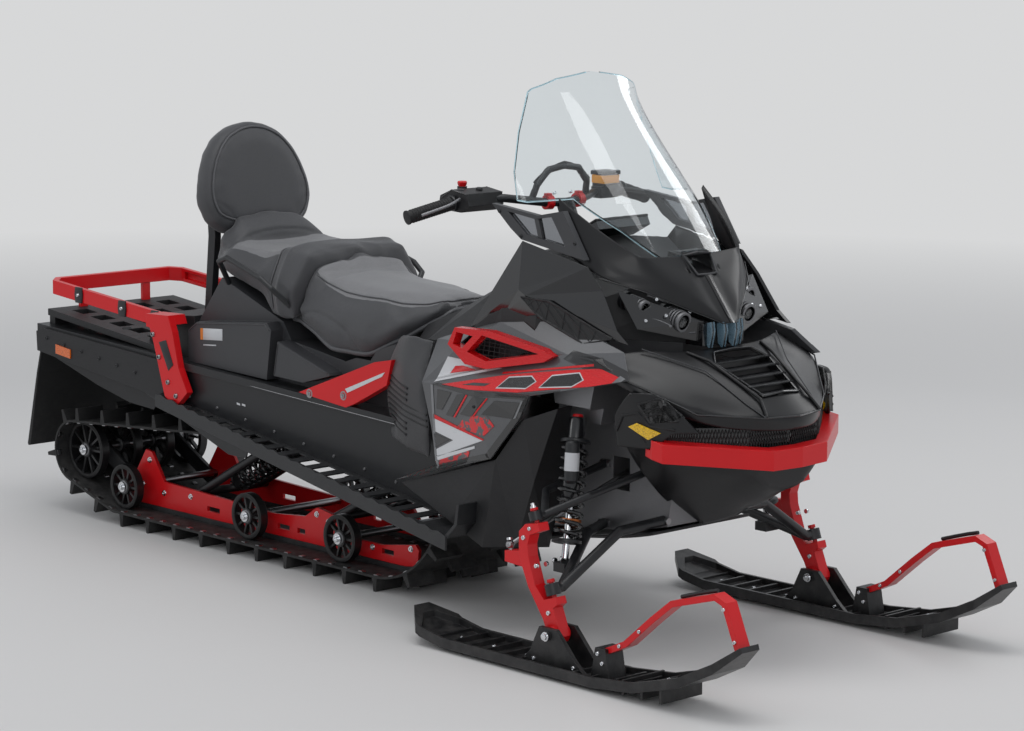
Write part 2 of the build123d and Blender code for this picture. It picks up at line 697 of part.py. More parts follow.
VENT_RIM = ((451, 792), (424, 745), (490, 700), (570, 696), (782, 738), (816, 756), (778, 770), (582, 796))
VENT_HOLES = (((498, 733), (568, 716), (765, 757), (554, 782)), ((458, 780), (444, 748), (478, 740), (520,
                                                                                                      776)))


def build_vent_frames():
    ring = side(VENT_RIM, 318, 346)
    for hole in VENT_HOLES:
        ring -= side(hole, 300, 360)
    return both(ring)


def build_lower_panels():
    p = {
        "rear": (232.0, 335.0, 348.0), "toe": (440.0, 352.0, 278.0), "toe_f": (560.0, 345.0, 225.0),
        "front_l": (640.0, 300.0, 232.0), "front_m": (735.0, 330.0, 420.0), "front_t": (830.0, 340.0, 625.0),
        "low_m": (625.0, 362.0, 468.0), "low_f": (735.0, 368.0, 588.0), "in_l": (640.0, 180.0, 215.0),
        "in_m": (720.0, 200.0, 420.0), "in_t": (790.0, 215.0, 625.0),
    }
    f = [["toe", "rear", "low_m"], ["toe_f", "toe", "low_m"], ["front_l", "toe_f", "low_m", "front_m"],
         ["front_m", "low_m", "low_f"], ["front_m", "low_f", "front_t"],
         ["in_l", "front_l", "front_m", "in_m"], ["in_m", "front_m", "front_t", "in_t"]]
    return both(skin(p, f, (380.0, 0.0, 480.0), 0.03))


def build_belly_pan():
    nose = stations([
        (1014.0, [(0, 310), (150, 400), (262, 512), (312, 600), (0, 640)]),
        (1180.0, [(0, 358), (120, 440), (240, 510), (290, 560), (0, 600)]),
        (1300.0, [(0, 440), (70, 452), (120, 500), (140, 540), (0, 560)]),
    ])
    ring = [(560.0, 236.0), (900.0, 276.0), (1016.0, 306.0), (1016.0, 314.0), (900.0, 284.0), (560.0, 244.0)]
    return nose + side(ring, -180, 180)


def build_bulkhead():
    ring = [(600.0, 262.0), (880.0, 288.0), (1015.0, 320.0), (1060.0, 560.0), (1000.0, 690.0), (620.0, 640.0)]
    out = side(ring, -BULKHEAD_Y, BULKHEAD_Y)
    tower = side([(800.0, 585.0), (905.0, 585.0), (930.0, 690.0), (780.0, 690.0)], 0, 312)
    out += both(tower - side([(790.0, 570.0), (915.0, 570.0), (915.0, 632.0), (790.0, 632.0)], 262, 322))
    return out - block(820, 880, -200, 200, 392, 478)


def build_engine():
    return block(400, 780, -170, 170, 695, 800)


def build_bumper():
    outer = [(1150.0, 330.0), (1185.0, 330.0), (1300.0, 165.0), (1345.0, 100.0), (1352.0, 0.0)]
    inner = [(1322.0, 0.0), (1315.0, 90.0), (1272.0, 150.0), (1120.0, 322.0)]
    ring = outer + inner
    half = plan(ring, 400, 700)
    slant = side([(1100.0, 545.0), (1100.0, 592.0), (1360.0, 556.0), (1360.0, 505.0)], -1, 400)
    return both(half & slant)


def build_front_reflectors():
    p = {"a": (1102.0, 338.0, 612.0), "b": (1112.0, 336.0, 620.0), "c": (1162.0, 316.0, 606.0),
         "d": (1128.0, 330.0, 574.0)}
    return both(skin(p, [["a", "b", "c", "d"]], (1080.0, 0.0, 600.0), 0.02))


def build_nose_sides():
    p = {
        "a": (1040.0, 352.0, 640.0), "b": (1046.0, 345.0, 560.0), "c": (1150.0, 326.0, 560.0),
        "d": (1188.0, 300.0, 604.0), "e": (1234.0, 250.0, 604.0), "f": (1165.0, 320.0, 700.0), "g": (1090.0,
                                                                                                     352.0,
                                                                                                     700.0),
    }
    f = [["b", "a", "c"], ["c", "a", "g", "f"], ["c", "f", "d"], ["d", "f", "e"]]
    return both(skin(p, f, (1040.0, 0.0, 620.0), 0.03))


def build_hood():
    p = {
        "c0": (1085.0, 0.0, 782.0), "hc": (1108.0, 0.0, 775.0), "h0": (1108.0, 70.0, 772.0), "gc": (1279.0,
                                                                                                    0.0,
                                                                                                    686.0),
        "c3": (1341.0, 0.0, 632.0), "c4": (1338.0, 0.0, 600.0), "g0": (1141.0, 98.0, 750.0), "g1": (1275.0,
                                                                                                    62.0,
                                                                                                    680.0),
        "g2": (1320.0, 100.0, 634.0), "g3": (1316.0, 100.0, 602.0), "q0": (1141.0, 116.0, 757.0),
        "q1": (1284.0, 84.0, 676.0), "r0": (1080.0, 140.0, 775.0), "r1": (1160.0, 150.0, 738.0),
        "r2": (1270.0, 118.0, 664.0), "w0": (1030.0, 255.0, 790.0), "w1": (1120.0, 258.0, 730.0),
        "k": (1215.0, 236.0, 644.0), "k2": (1211.0, 236.0, 616.0), "e0": (960.0, 345.0, 766.0),
        "e1": (1085.0, 345.0, 722.0), "e2": (1080.0, 342.0, 700.0), "e3": (958.0, 340.0, 740.0),
    }
    half = [["c0", "hc", "h0"], ["c0", "h0", "r0"], ["h0", "g0", "q0"], ["h0", "q0", "r0"],
            ["g0", "g1", "q1", "q0"],
            ["gc", "c3", "g2", "g1"], ["g1", "g2", "q1"], ["r0", "q0", "r1"], ["q0", "q1", "r2", "r1"],
            ["q1", "g2", "r2"], ["c3", "c4", "g3", "g2"], ["r0", "r1", "w1", "w0"], ["r1", "r2", "k", "w1"],
            ["r2", "g2", "k"], ["g2", "g3", "k2", "k"], ["w0", "w1", "e1", "e0"], ["w1", "k", "e1"],
            ["k", "k2", "e2", "e1"], ["e1", "e2", "e3", "e0"]]
    return skin(*mirrored(p, half), (1000.0, 0.0, 500.0), 0.02)


LOUVRES = 5


def build_grille():
    """Louvres across the hood's opening, and the screen under its lip."""
    out = Part()
    for i in range(LOUVRES):
        t = (i + 0.6) / LOUVRES
        x, z = 1118.0 + t * 160.0, 768.0 - t * 86.0
        wide = 2 * (99.0 - abs(x - 1141.0) * 0.27 + 6.0)
        out += Pos(x, 0, z - 4) * Rot(0, 8, 0) * Box(24, wide, 4.5)
    ring = [(1150.0, 302.0), (1206.0, 232.0), (1286.0, 128.0), (1306.0, 0.0)]
    ring += [(x - 9.0, y - 4.0) for x, y in ring[2::-1]]
    ring.insert(4, (1297.0, 0.0))
    return out + both(plan(ring, 548, 612))


LAMP_BARRELS = ((1056.0, 122.0, 848.0, 25.0),
                (992.0, 196.0, 884.0, 19.0))  # x, y, z of the lens and its radius
LIGHT_GUIDES = ((1106.0, 20.0), (1092.0, 52.0))  # x, y


def build_headlamps():
    """Two lamp housings with their projector barrels, joined by the chin that holds the light guides."""
    p = {"a": (948.0, 252.0, 930.0), "b": (1012.0, 244.0, 838.0), "c": (1062.0, 72.0, 796.0),
         "d": (1070.0, 60.0, 848.0)}
    out = skin(p, [["d", "c", "b", "a"]], (780.0, 0.0, 850.0), 0.16)
    for x, y, z, r in LAMP_BARRELS:
        out += rod((x - 70, y, z + 14), (x, y, z), r)
        out -= rod((x - 10, y, z + 2), (x + 5, y, z - 1), r - 5)
    out = both(out) + block(1020, 1078, -76, 76, 786, 842)
    for x, y in LIGHT_GUIDES:
        tooth = side([(x - 30, 786.0), (x - 30, 846.0), (x - 4, 846.0), (x, 822.0), (x - 8, 782.0)], y - 7,
                     y + 7)
        out += both(tooth)
    return out


def build_beak():
    p = {
        "t": (752.0, 268.0, 1148.0), "u1": (874.0, 240.0, 1069.0), "u2": (962.0, 186.0, 1008.0),
        "v0": (986.0, 0.0, 1007.0), "v1": (980.0, 50.0, 1003.0), "v2": (1018.0, 35.0, 957.0),
        "n0": (1112.0, 0.0, 842.0), "n": (1106.0, 22.0, 842.0), "c1": (888.0, 264.0, 992.0), "c2": (988.0,
                                                                                                    176.0,
                                                                                                    954.0),
        "c3": (1056.0, 88.0, 914.0), "e1": (900.0, 272.0, 958.0), "e2": (985.0, 194.0, 926.0), "e3": (1045.0,
                                                                                                      108.0,
                                                                                                      882.0),
        "r": (800.0, 282.0, 1010.0), "vc": (1022.0, 0.0, 957.0),
    }
    half = [["t", "e1", "r"], ["t", "c1", "e1"], ["t", "u1", "c1"], ["u1", "u2", "c2", "c1"],
            ["u2", "v1", "v2"],
            ["u2", "v2", "c3"], ["u2", "c3", "c2"], ["v2", "n", "c3"], ["vc", "n0", "n", "v2"],
            ["c1", "c2", "e2", "e1"], ["c2", "c3", "e3", "e2"], ["c3", "n", "e3"]]
    sheet = skin(*mirrored(p, half), (800.0, 0.0, 850.0), 0.03)
    hood = front([(-50, 1003), (50, 1003), (44, 1012), (-44, 1012)], 940, 982)
    floor = side([(930.0, 985.0), (1018.0, 957.0), (1012.0, 950.0), (928.0, 978.0)], -50, 50)
    cheeks = side([(930.0, 1012.0), (984.0, 1004.0), (1016.0, 958.0), (930.0, 980.0)], 46, 52)
    return sheet + hood + floor + both(cheeks)


LATTICE = ((705, 889), (738, 872), (1006, 814), (880, 800), (832, 796))  # side grille's opening, x and z
LATTICE_BARS = (((730, 882), (850, 800)), ((760, 830), (900, 838)), ((800, 862), (870, 800)),
                ((860, 848), (960, 808)),
                ((880, 800), (930, 832)))


def build_upper_sides():
    p = {
        "a": (420.0, 262.0, 782.0), "b": (640.0, 285.0, 1030.0), "c": (560.0, 275.0, 830.0), "d": (667.0,
                                                                                                   300.0,
                                                                                                   893.0),
        "e": (1040.0, 302.0, 806.0), "f": (880.0, 288.0, 985.0), "g": (800.0, 300.0, 842.0), "h": (935.0,
                                                                                                   290.0,
                                                                                                   930.0),
        "i": (1000.0, 302.0, 836.0), "j": (640.0, 298.0, 905.0),
    }
    f = [["a", "b", "j"], ["a", "j", "c"], ["j", "b", "f"], ["c", "j", "d"], ["d", "j", "f"], ["d", "f", "h"],
         ["c", "d", "g"], ["d", "e", "g"], ["d", "h", "i", "e"]]
    sheet = skin(p, f, (700.0, 0.0, 800.0), 0.02) - side(LATTICE, 200, 400)
    bars = Part()
    for (x0, z0), (x1, z1) in LATTICE_BARS:
        dx, dz = x1 - x0, z1 - z0
        run = hypot(dx, dz)
        nx, nz = -dz / run * 3.5, dx / run * 3.5
        bars += side([(x0 + nx, z0 + nz), (x0 - nx, z0 - nz), (x1 - nx, z1 - nz), (x1 + nx, z1 + nz)], 288,
                     296)
    return both(sheet + bars)


SCREEN_T = 4.0
SCREEN_SECTIONS = (  # height, half width, x of the rear edges, x of the middle
    (985.0, 262.0, 700.0, 1000.0),
    (1060.0, 270.0, 650.0, 935.0),
    (1130.0, 271.0, 606.0, 874.0),
    (1200.0, 260.0, 582.0, 812.0),
    (1300.0, 233.0, 569.0, 724.0),
    (1400.0, 198.0, 565.0, 637.0),
    (1460.0, 180.0, 563.0, 586.0),
)


def build_windshield():
    def section(z, w, xs, xf):
        t = SCREEN_T
        outer = Edge.make_three_point_arc((xs, -w, z), (xf, 0, z), (xs, w, z))
        inner = Edge.make_three_point_arc((xs, -w + t, z), (xf - t, 0, z), (xs, w - t, z))
        ends = [Edge.make_line((xs, s * w, z), (xs, s * (w - t), z)) for s in (-1, 1)]
        return Face(Wire([outer, ends[0], inner, ends[1]]))

    sheet = loft([section(*row) for row in SCREEN_SECTIONS], ruled=True)
    keep = side([(560.0, 1133.0), (640.0, 1128.0), (755.0, 1142.0), (880.0, 1062.0), (960.0, 1001.0),
                 (1010.0, 1001.0),
                 (1010.0, HEIGHT - 100), (640.0, HEIGHT), (540.0, HEIGHT)], -400, 400)
    top = front([(-300, 900), (300, 900), (300, 1180), (222, 1380), (188, 1410), (120, 1434), (0, HEIGHT),
                 (-120, 1434), (-188, 1410), (-222, 1380), (-300, 1180)], 400, 1200)
    return sheet & keep & top


def build_deflectors():
    frame = side([(530, 1118), (700, 1100), (790, 1118), (870, 1000), (640, 1034), (600, 1060)], 272, 290)
    frame -= side([(590, 1102), (690, 1090), (750, 1100), (800, 1030), (660, 1048)], 260, 300)
    return both(frame)


def build_gauge():
    return Pos(690, 0, 1048) * Rot(0, -28, 0) * Box(70, 190, 26)


# ---------------------------------------------------------------- steering
def steer(x, y, z):
    """Place given along the post's own axes at its pivot."""
    a = radians(STEER_TILT)
    return (STEER_PIVOT[0] + x * cos(a) - z * sin(a), y, STEER_PIVOT[2] + x * sin(a) + z * cos(a))


BAR_R = 11.0
GRIP_R = 17.0
BAR_SPOTS = ((505.0, 0.0, 1100.0), (500.0, 60.0, 1102.0), (455.0, 175.0, 1118.0), (405.0, 300.0, 1112.0))
GRIP_END = (372.0, 440.0, 1078.0)


def build_post():
    return rod(steer(0, 0, -85.5), steer(0, 0, 40.0), POST_R)


def build_handlebar():
    out = bar(BAR_SPOTS, BAR_R)
    out += rod(BAR_SPOTS[-1], GRIP_END, BAR_R - 2)
    loop = bar([(500.0, 0.0, 1196.0), (498.0, 55.0, 1188.0), (492.0, 92.0, 1150.0), (480.0, 100.0, 1112.0)],
               9.0)
    block_ = rod(steer(0, 0, -16), (505.0, 0.0, 1100.0), 24.0)
    return both(out + loop) + block_ + build_post()


def build_grips():
    a, b = mid(BAR_SPOTS[-1], GRIP_END, 0.1), GRIP_END
    grip = rod(a, b, GRIP_R) - rod(mid(a, b, -0.4), mid(a, b, 1.4), BAR_R - 2)
    return both(grip)


def build_controls():
    pod = side([(340, 1090), (348, 1126), (392, 1144), (452, 1136), (458, 1104), (428, 1086)], 180, 304)
    pod -= bar(BAR_SPOTS, BAR_R)
    pod = flip(pod)
    tank = block(448, 492, 158, 214, 1128, 1168)
    lever = bar([(456.0, 208.0, 1124.0), (457.0, 246.0, 1118.0), (436.0, 380.0, 1098.0)], 6.0)
    mount = block(452, 490, 150, 216, 1098, 1129) - bar(BAR_SPOTS, BAR_R)
    return pod + tank + mount + lever


# ---------------------------------------------------------------- front suspension
def kingpin(t):
    """Place on the left kingpin axis, 0 at the lower ball, 1 at the upper."""
    return mid(KINGPIN_LOW, KINGPIN_TOP, t)


def tie_pin(d):
    """Place on the tie rod's pin, d along the kingpin's direction from its eye."""
    a = Vector(*KINGPIN_TOP) - Vector(*KINGPIN_LOW)
    a = a.normalized() * d
    return (TIE_EYE_X + a.X, STANCE / 2 + a.Y, TIE_EYE_Z + a.Z)


def build_spindle():
    """Left spindle: a bow behind the kingpin, joining both studs and the ski's pin."""
    y = STANCE / 2
    ring = [(957.0, 180.0), (998.0, 194.0), (1004.0, 176.0), (990.0, 164.0), (1018.0, 96.0), (1010.0, 80.0),
            (978.0, 80.0), (955.0, 130.0), (900.0, 205.0), (866.0, 280.0), (866.0, 340.0), (888.0, 361.0),
            (934.0, 370.0), (940.0, 350.0), (905.0, 336.0), (897.0, 310.0), (900.0, 280.0), (925.0, 212.0)]
    bow = side(ring, y - 17, y + 17)
    stud = rod(kingpin(-0.16), kingpin(0.13), STUD_R) + rod(kingpin(0.95), kingpin(1.25), STUD_R)
    stud += rod(kingpin(0.105), kingpin(0.16), 10.0) + rod(kingpin(1.23), kingpin(1.27), 10.0)
    foot = across(SKI_PIVOT[0], SKI_PIVOT[1], 20.0, y - 24, y + 24)
    arm = side([(880.0, 250.0), (884.0, 292.0), (812.0, 282.0), (812.0, 254.0)], y - 14, y + 14)
    arm -= rod(tie_pin(-60), tie_pin(60), ROD_R + RUN_GAP)
    out = bow + stud + foot + arm
    return out - across(SKI_PIVOT[0], SKI_PIVOT[1], SKI_PIN_R + RUN_GAP, y - 60, y + 60)


SKI_TAIL = 485.0
SOLE = ((SKI_TAIL, 60.0), (560.0, 24.0), (640.0, 10.0), (1180.0, 10.0), (1320.0, 24.0), (1460.0, 62.0),
        (1560.0, 112.0), (TIP_X, 172.0))
SKI_T = 9.0
SKI_WALL = 26.0


def build_ski():
    """Left ski: sole with upturned ends, side walls, ribs and the saddle that holds its pin."""
    y = STANCE / 2
    up = [(x - (2 if i else 0), z + SKI_T) for i, (x, z) in enumerate(SOLE)]
    tray = [(x, z + SKI_WALL) for x, z in SOLE[:-1]] + [(TIP_X - 6, SOLE[-1][1] + 12)]
    slab = side(list(SOLE) + tray[::-1], y - SKI_W / 2, y + SKI_W / 2)
    w = SKI_W / 2
    outline = [(SKI_TAIL, y - 26), (SKI_TAIL + 60, y - w), (1430.0, y - w), (1560.0, y - 58), (TIP_X, y - 30)]
    outline += [(x, 2 * y - v) for x, v in outline[::-1]]
    slab &= plan(outline, -5, 400)
    inner = side(up + [(TIP_X - 40, 400.0), (SKI_TAIL + 20, 400.0)], y - w + 9, y + w - 9)
    inside = [(SKI_TAIL + 30, y - 18), (SKI_TAIL + 74, y - w + 9), (1422.0, y - w + 9), (1530.0, y - 50),
              (1560.0, y - 46), (1560.0, y + 46), (1530.0, y + 50), (1422.0, y + w - 9), (SKI_TAIL + 74,
                                                                                          y + w - 9),
              (SKI_TAIL + 30, y + 18)]
    slab -= inner & plan(inside, -5, 400)
    for x in [600.0 + 62 * i for i in range(14)]:
        if abs(x - SKI_PIVOT[0]) > 70:
            slab += block(x, x + 7, y - w + 4, y + w - 4, 14.0 if x > 620 else 20.0,
                          32.0 if x < 1280 else 50.0)
    ring = [(890.0, 15.0), (1130.0, 15.0), (1085.0, 52.0), (1022.0, 118.0), (962.0, 118.0), (930.0, 52.0)]
    ears = side(ring, y - 38, y - 26) + side(ring, y + 26, y + 38)
    pin = across(SKI_PIVOT[0], SKI_PIVOT[1], SKI_PIN_R, y - 44, y + 44)
    caps = across(SKI_PIVOT[0], SKI_PIVOT[1], 11.0, y - 46, y - 38) + across(SKI_PIVOT[0], SKI_PIVOT[1], 11.0,
                                                                             y + 38, y + 46)
    lug = side([(1135.0, 16.0), (1200.0, 16.0), (1184.0, 98.0), (1150.0, 98.0)], y - 30, y + 30)
    keel = block(690, 1200, y - 7, y + 7, 0.0, 12.0)
    return slab + ears + pin + caps + lug + keel


LOOP_SPOTS = ((1160.0, 84.0), (1206.0, 104.0), (1240.0, 120.0), (1330.0, 197.0), (1392.0, 246.0),
              (1528.0, 286.0),
              (1560.0, 274.0), (1606.0, 168.0))
LOOP_T = 16.0


def build_ski_loop():
    y = STANCE / 2
    out, inn = [], []
    n = len(LOOP_SPOTS)
    for i, (x, z) in enumerate(LOOP_SPOTS):
        a, b = LOOP_SPOTS[max(i - 1, 0)], LOOP_SPOTS[min(i + 1, n - 1)]
        dx, dz = b[0] - a[0], b[1] - a[1]
        d = hypot(dx, dz)
        out.append((x - dz / d * LOOP_T / 2, z + dx / d * LOOP_T / 2))
        inn.append((x + dz / d * LOOP_T / 2, z - dx / d * LOOP_T / 2))
    return side(out + inn[::-1], y - 19, y + 19)


def build_tie_rod():
    """Left tie rod: from inside the bulkhead to the eye of the spindle's arm."""
    inner = (848.0, 100.0, 438.0)
    end = tie_pin(29.0)
    return rod(inner, end, ROD_R) + ball(end, 11.0) + rod(tie_pin(-15.0), end, ROD_R)


def wishbone(hub, feet, r, via):
    out = Part()
    for foot, bend in zip(feet, via):
        out += bar([foot, bend, hub], r)
    return out


LOWER_FEET = ((1002.0, BULKHEAD_Y, 335.0), (790.0, BULKHEAD_Y, 296.0))
UPPER_FEET = ((980.0, BULKHEAD_Y, 470.0), (795.0, BULKHEAD_Y, 455.0))
LOWER_BENDS = ((985.0, 270.0, 325.0), (872.0, 270.0, 306.0))
UPPER_BENDS = ((955.0, 350.0, 422.0), (800.0, 350.0, 412.0))


def build_lower_arms():
    hub = kingpin(0.0)
    inset = (hub[0], hub[1] - 30, hub[2])
    arm = wishbone(inset, LOWER_FEET, 13.0, LOWER_BENDS)
    eye = rod(kingpin(-0.09), kingpin(0.09), 19.0)
    arm = arm + eye + rod(inset, hub, 12.0)
    arm -= rod(kingpin(-0.3), kingpin(0.3), STUD_R + RUN_GAP)
    saddle = block(885, 925, 350, 405, 226, 250)
    return both(arm + saddle)


def build_upper_arms():
    hub = kingpin(1.145)
    inset = (hub[0], hub[1] - 30, hub[2])
    arm = wishbone(inset, UPPER_FEET, 10.0, UPPER_BENDS)
    eye = rod(kingpin(1.075), kingpin(1.215), 17.0)
    arm = arm + eye + rod(inset, hub, 10.0)
    return both(arm - rod(kingpin(0.7), kingpin(1.3), STUD_R + RUN_GAP))


def build_front_shocks():
    return both(coil_over(SHOCK_TOP, SHOCK_FOOT, 36.0, 22.0, 8))


def build_skid_shocks():
    out = Part()
    for top, foot in SKID_SHOCKS:
        out += coil_over(top, foot, 34.0, 20.0, 8)
    return out


CHASSIS = {
    "track": build_track,
    "slide_rails": build_rails,
    "slide_runners": build_runners,
    "idler_wheels": build_idlers,
    "bogie_wheels": build_bogies,
    "skid_shafts": build_shafts,
    "skid_arms": build_skid_arms,
    "skid_shocks": build_skid_shocks,
    "drive_axle": build_drive,
    "tunnel": build_tunnel,
    "running_boards": build_boards,
    "rear_side_panels": build_rear_panels,
    "rear_reflectors": build_rear_reflectors,
    "tail_lamp": build_tail_lamp,
    "cargo_deck": build_deck,
    "rear_rack": build_rack,
    "snow_flap": build_flap,
    "tow_hitch": build_hitch,
    "seat_base": build_seat_base,
    "side_boxes": build_side_boxes,
    "driver_seat": build_driver_seat,
    "passenger_seat": build_passenger_seat,
    "backrest": build_backrest,
    "backrest_posts": build_backrest_posts,
    "grab_handles": build_grab_handles,
    "seat_braces": build_seat_braces,
    "knee_pads": build_knee_pads,
    "console": build_console,
    "side_panels": build_side_panels,
    "vent_frames": build_vent_frames,
    "lower_panels": build_lower_panels,
    "belly_pan": build_belly_pan,
    "bulkhead": build_bulkhead,
    "engine_block": build_engine,
    "front_bumper": build_bumper,
    "front_reflectors": build_front_reflectors,
    "nose_sides": build_nose_sides,
    "hood": build_hood,
    "hood_grille": build_grille,
    "headlamps": build_headlamps,
    "beak": build_beak,
    "upper_sides": build_upper_sides,
    "windshield": build_windshield,
    "deflector_frames": build_deflectors,
    "gauge": build_gauge,
    "lower_arms": build_lower_arms,
    "upper_arms": build_upper_arms,
    "front_shocks": build_front_shocks,
    "handlebar": build_handlebar,
    "grips": build_grips,
    "bar_controls": build_controls,
}

PAIRS = {
    "spindle": build_spindle,
    "ski": build_ski,
    "ski_loop": build_ski_loop,
    "tie_rod": build_tie_rod,
}


CUT_BY = {  # a piece and the neighbours it is shaped round
    "slide_runners": ("slide_rails",),
    "skid_arms": ("skid_shafts", "slide_rails"),
    "skid_shocks": ("skid_arms",),
    "running_boards": ("rear_rack",),
    "rear_side_panels": ("tunnel",),
    "cargo_deck": ("tunnel", "seat_base"),
    "rear_rack": ("cargo_deck", "rear_side_panels"),
    "seat_base": ("driver_seat", "passenger_seat"),
    "driver_seat": ("passenger_seat",),
    "passenger_seat": ("backrest",),
    "backrest_posts": ("backrest", "cargo_deck", "passenger_seat", "seat_base"),
    "grab_handles": ("passenger_seat",),
    "seat_braces": ("tunnel", "knee_pads"),
    "knee_pads": ("tunnel",),
    "console": ("driver_seat", "engine_block", "gauge", "knee_pads", "bulkhead", "side_panels", "upper_sides",
                "beak",
                "hood", "headlamps", "windshield", "vent_frames", "deflector_frames"),
    "side_panels": ("vent_frames", "hood", "knee_pads", "upper_sides"),
    "lower_panels": ("running_boards", "side_panels", "belly_pan", "bulkhead"),
    "belly_pan": ("bulkhead", "lower_arms", "upper_arms"),
    "bulkhead": ("engine_block",),
    "lower_arms": ("bulkhead",),
    "upper_arms": ("bulkhead",),
    "front_bumper": ("belly_pan", "nose_sides"),
    "nose_sides": ("front_reflectors", "belly_pan"),
    "hood_grille": ("hood", "belly_pan", "front_bumper", "nose_sides"),
    "headlamps": ("upper_sides", "hood", "beak"),
    "windshield": ("beak",),
    "upper_sides": ("hood", "beak"),
    "gauge": ("windshield",),
    "bar_controls": ("handlebar", "grips"),
    "front_reflectors": ("front_bumper",),
    "front_shocks": ("lower_arms", "bulkhead"),
    "deflector_frames": ("beak", "windshield", "upper_sides"),
    "ski": ("ski_loop",),
}
SHARED = {  # like pieces that share a node
    "idler_wheels": "track_wheels",
    "bogie_wheels": "track_wheels",
    "skid_shafts": "track_axles",
    "drive_axle": "track_axles",
    "skid_shocks": "shock_absorbers",
    "front_shocks": "shock_absorbers",
    "lower_arms": "suspension_arms",
    "upper_arms": "suspension_arms",
    "side_boxes": "seat_base",
    "backrest_posts": "seat_rails",
    "grab_handles": "seat_rails",
}
CRUMB = 1200.0  # cut pieces smaller than this, in mm3, are left out
RAW = {}


def piece(name):
    if name not in RAW:
        RAW[name] = (CHASSIS.get(name) or PAIRS[name])()
    return RAW[name]


def fitted(name):
    shape = piece(name)
    for other in CUT_BY.get(name, ()):
        shape -= piece(other)
    return Part() + [s for s in shape.solids() if s.volume > CRUMB]


def main():
    os.makedirs("parts", exist_ok=True)
    nodes = {}
    for name in CHASSIS:
        nodes.setdefault(SHARED.get(name, name), []).append(name)
    for node, names in nodes.items():
        shape = fitted(names[0])
        for name in names[1:]:
            shape += fitted(name)
        save(node, shape)
    for name in PAIRS:
        shape = fitted(name)
        save(f"{name}_left", shape)
        save(f"{name}_right", flip(shape))


main()
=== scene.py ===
import json
from math import atan2, cos, pi, radians, sin

import bmesh
import bpy
from bpy.props import FloatProperty, FloatVectorProperty, IntProperty, PointerProperty
from mathutils import Matrix, Vector
from mathutils.bvhtree import BVHTree
from mathutils.kdtree import KDTree


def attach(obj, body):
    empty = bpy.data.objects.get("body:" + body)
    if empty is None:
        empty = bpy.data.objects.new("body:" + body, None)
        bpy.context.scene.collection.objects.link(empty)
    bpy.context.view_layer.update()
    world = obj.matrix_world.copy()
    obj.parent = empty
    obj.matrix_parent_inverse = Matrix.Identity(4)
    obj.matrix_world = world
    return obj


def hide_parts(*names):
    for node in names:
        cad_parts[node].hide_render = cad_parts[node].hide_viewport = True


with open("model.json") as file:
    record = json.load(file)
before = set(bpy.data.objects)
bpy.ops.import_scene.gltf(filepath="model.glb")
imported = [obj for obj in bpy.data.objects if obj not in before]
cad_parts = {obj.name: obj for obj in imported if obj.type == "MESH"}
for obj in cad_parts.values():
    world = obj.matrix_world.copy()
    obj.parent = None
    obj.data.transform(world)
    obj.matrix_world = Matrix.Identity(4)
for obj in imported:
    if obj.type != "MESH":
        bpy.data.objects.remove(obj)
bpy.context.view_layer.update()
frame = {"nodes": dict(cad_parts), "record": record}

bl_info = {
    "name": "Snowmobile Dresser",
    "version": (1, 0, 0),
    "blender": (4, 5, 0),
    "location": "View3D > Sidebar > Snowmobile",
    "description": "Dresses the sled's frame with seats, lamps, springs, trim and finishes",
    "category": "Object",
}


# ------------------------------------------------------------------ settings
def tint(name, text, default):
    return FloatVectorProperty(name=name, description=text, default=default, subtype="COLOR", size=3, min=0.0,
                               max=1.0)


def span(name, text, default):
    return FloatProperty(name=name, description=text, default=default, unit="LENGTH", subtype="DISTANCE",
                         min=0.0)


class SledColours(bpy.types.PropertyGroup):
    red: tint("Red", "Frames, bumper, rack and spindles", (0.68, 0.006, 0.01))
    panel: tint("Panel silver", "Side panels behind the stripes", (0.1, 0.102, 0.108))
    body: tint("Body black", "Beak, hood and upper sides", (0.008, 0.008, 0.009))
    trim: tint("Trim grey", "Deflector frames and boxes", (0.045, 0.046, 0.05))
    vinyl: tint("Bench vinyl", "Sides of the cushions and backrest", (0.06, 0.061, 0.066))
    # Lighter than the bench vinyl: painted light from above on the cushions' top panels.
    vinyl_lit_top: tint("Bench lit top", "Lighter panels on top of the cushions", (0.2, 0.2, 0.208))
    amber: tint("Amber", "Rear reflectors", (0.9, 0.16, 0.005))
    yellow: tint("Yellow", "Front reflectors", (1.0, 0.6, 0.0))
    floor: tint("Floor", "Pale studio floor", (0.74, 0.73, 0.72))


class SledSizes(bpy.types.PropertyGroup):
    edge: span("Edge round", "Radius that plastic edges seem to have", 0.0025)
    wire: span("Spring wire", "Radius of the springs' wire", 0.0055)
    coils: IntProperty(name="Coils", description="Turns in each spring", default=9, min=3, max=20)


def colours():
    return bpy.context.scene.sled_colours


def sizes():
    return bpy.context.scene.sled_sizes


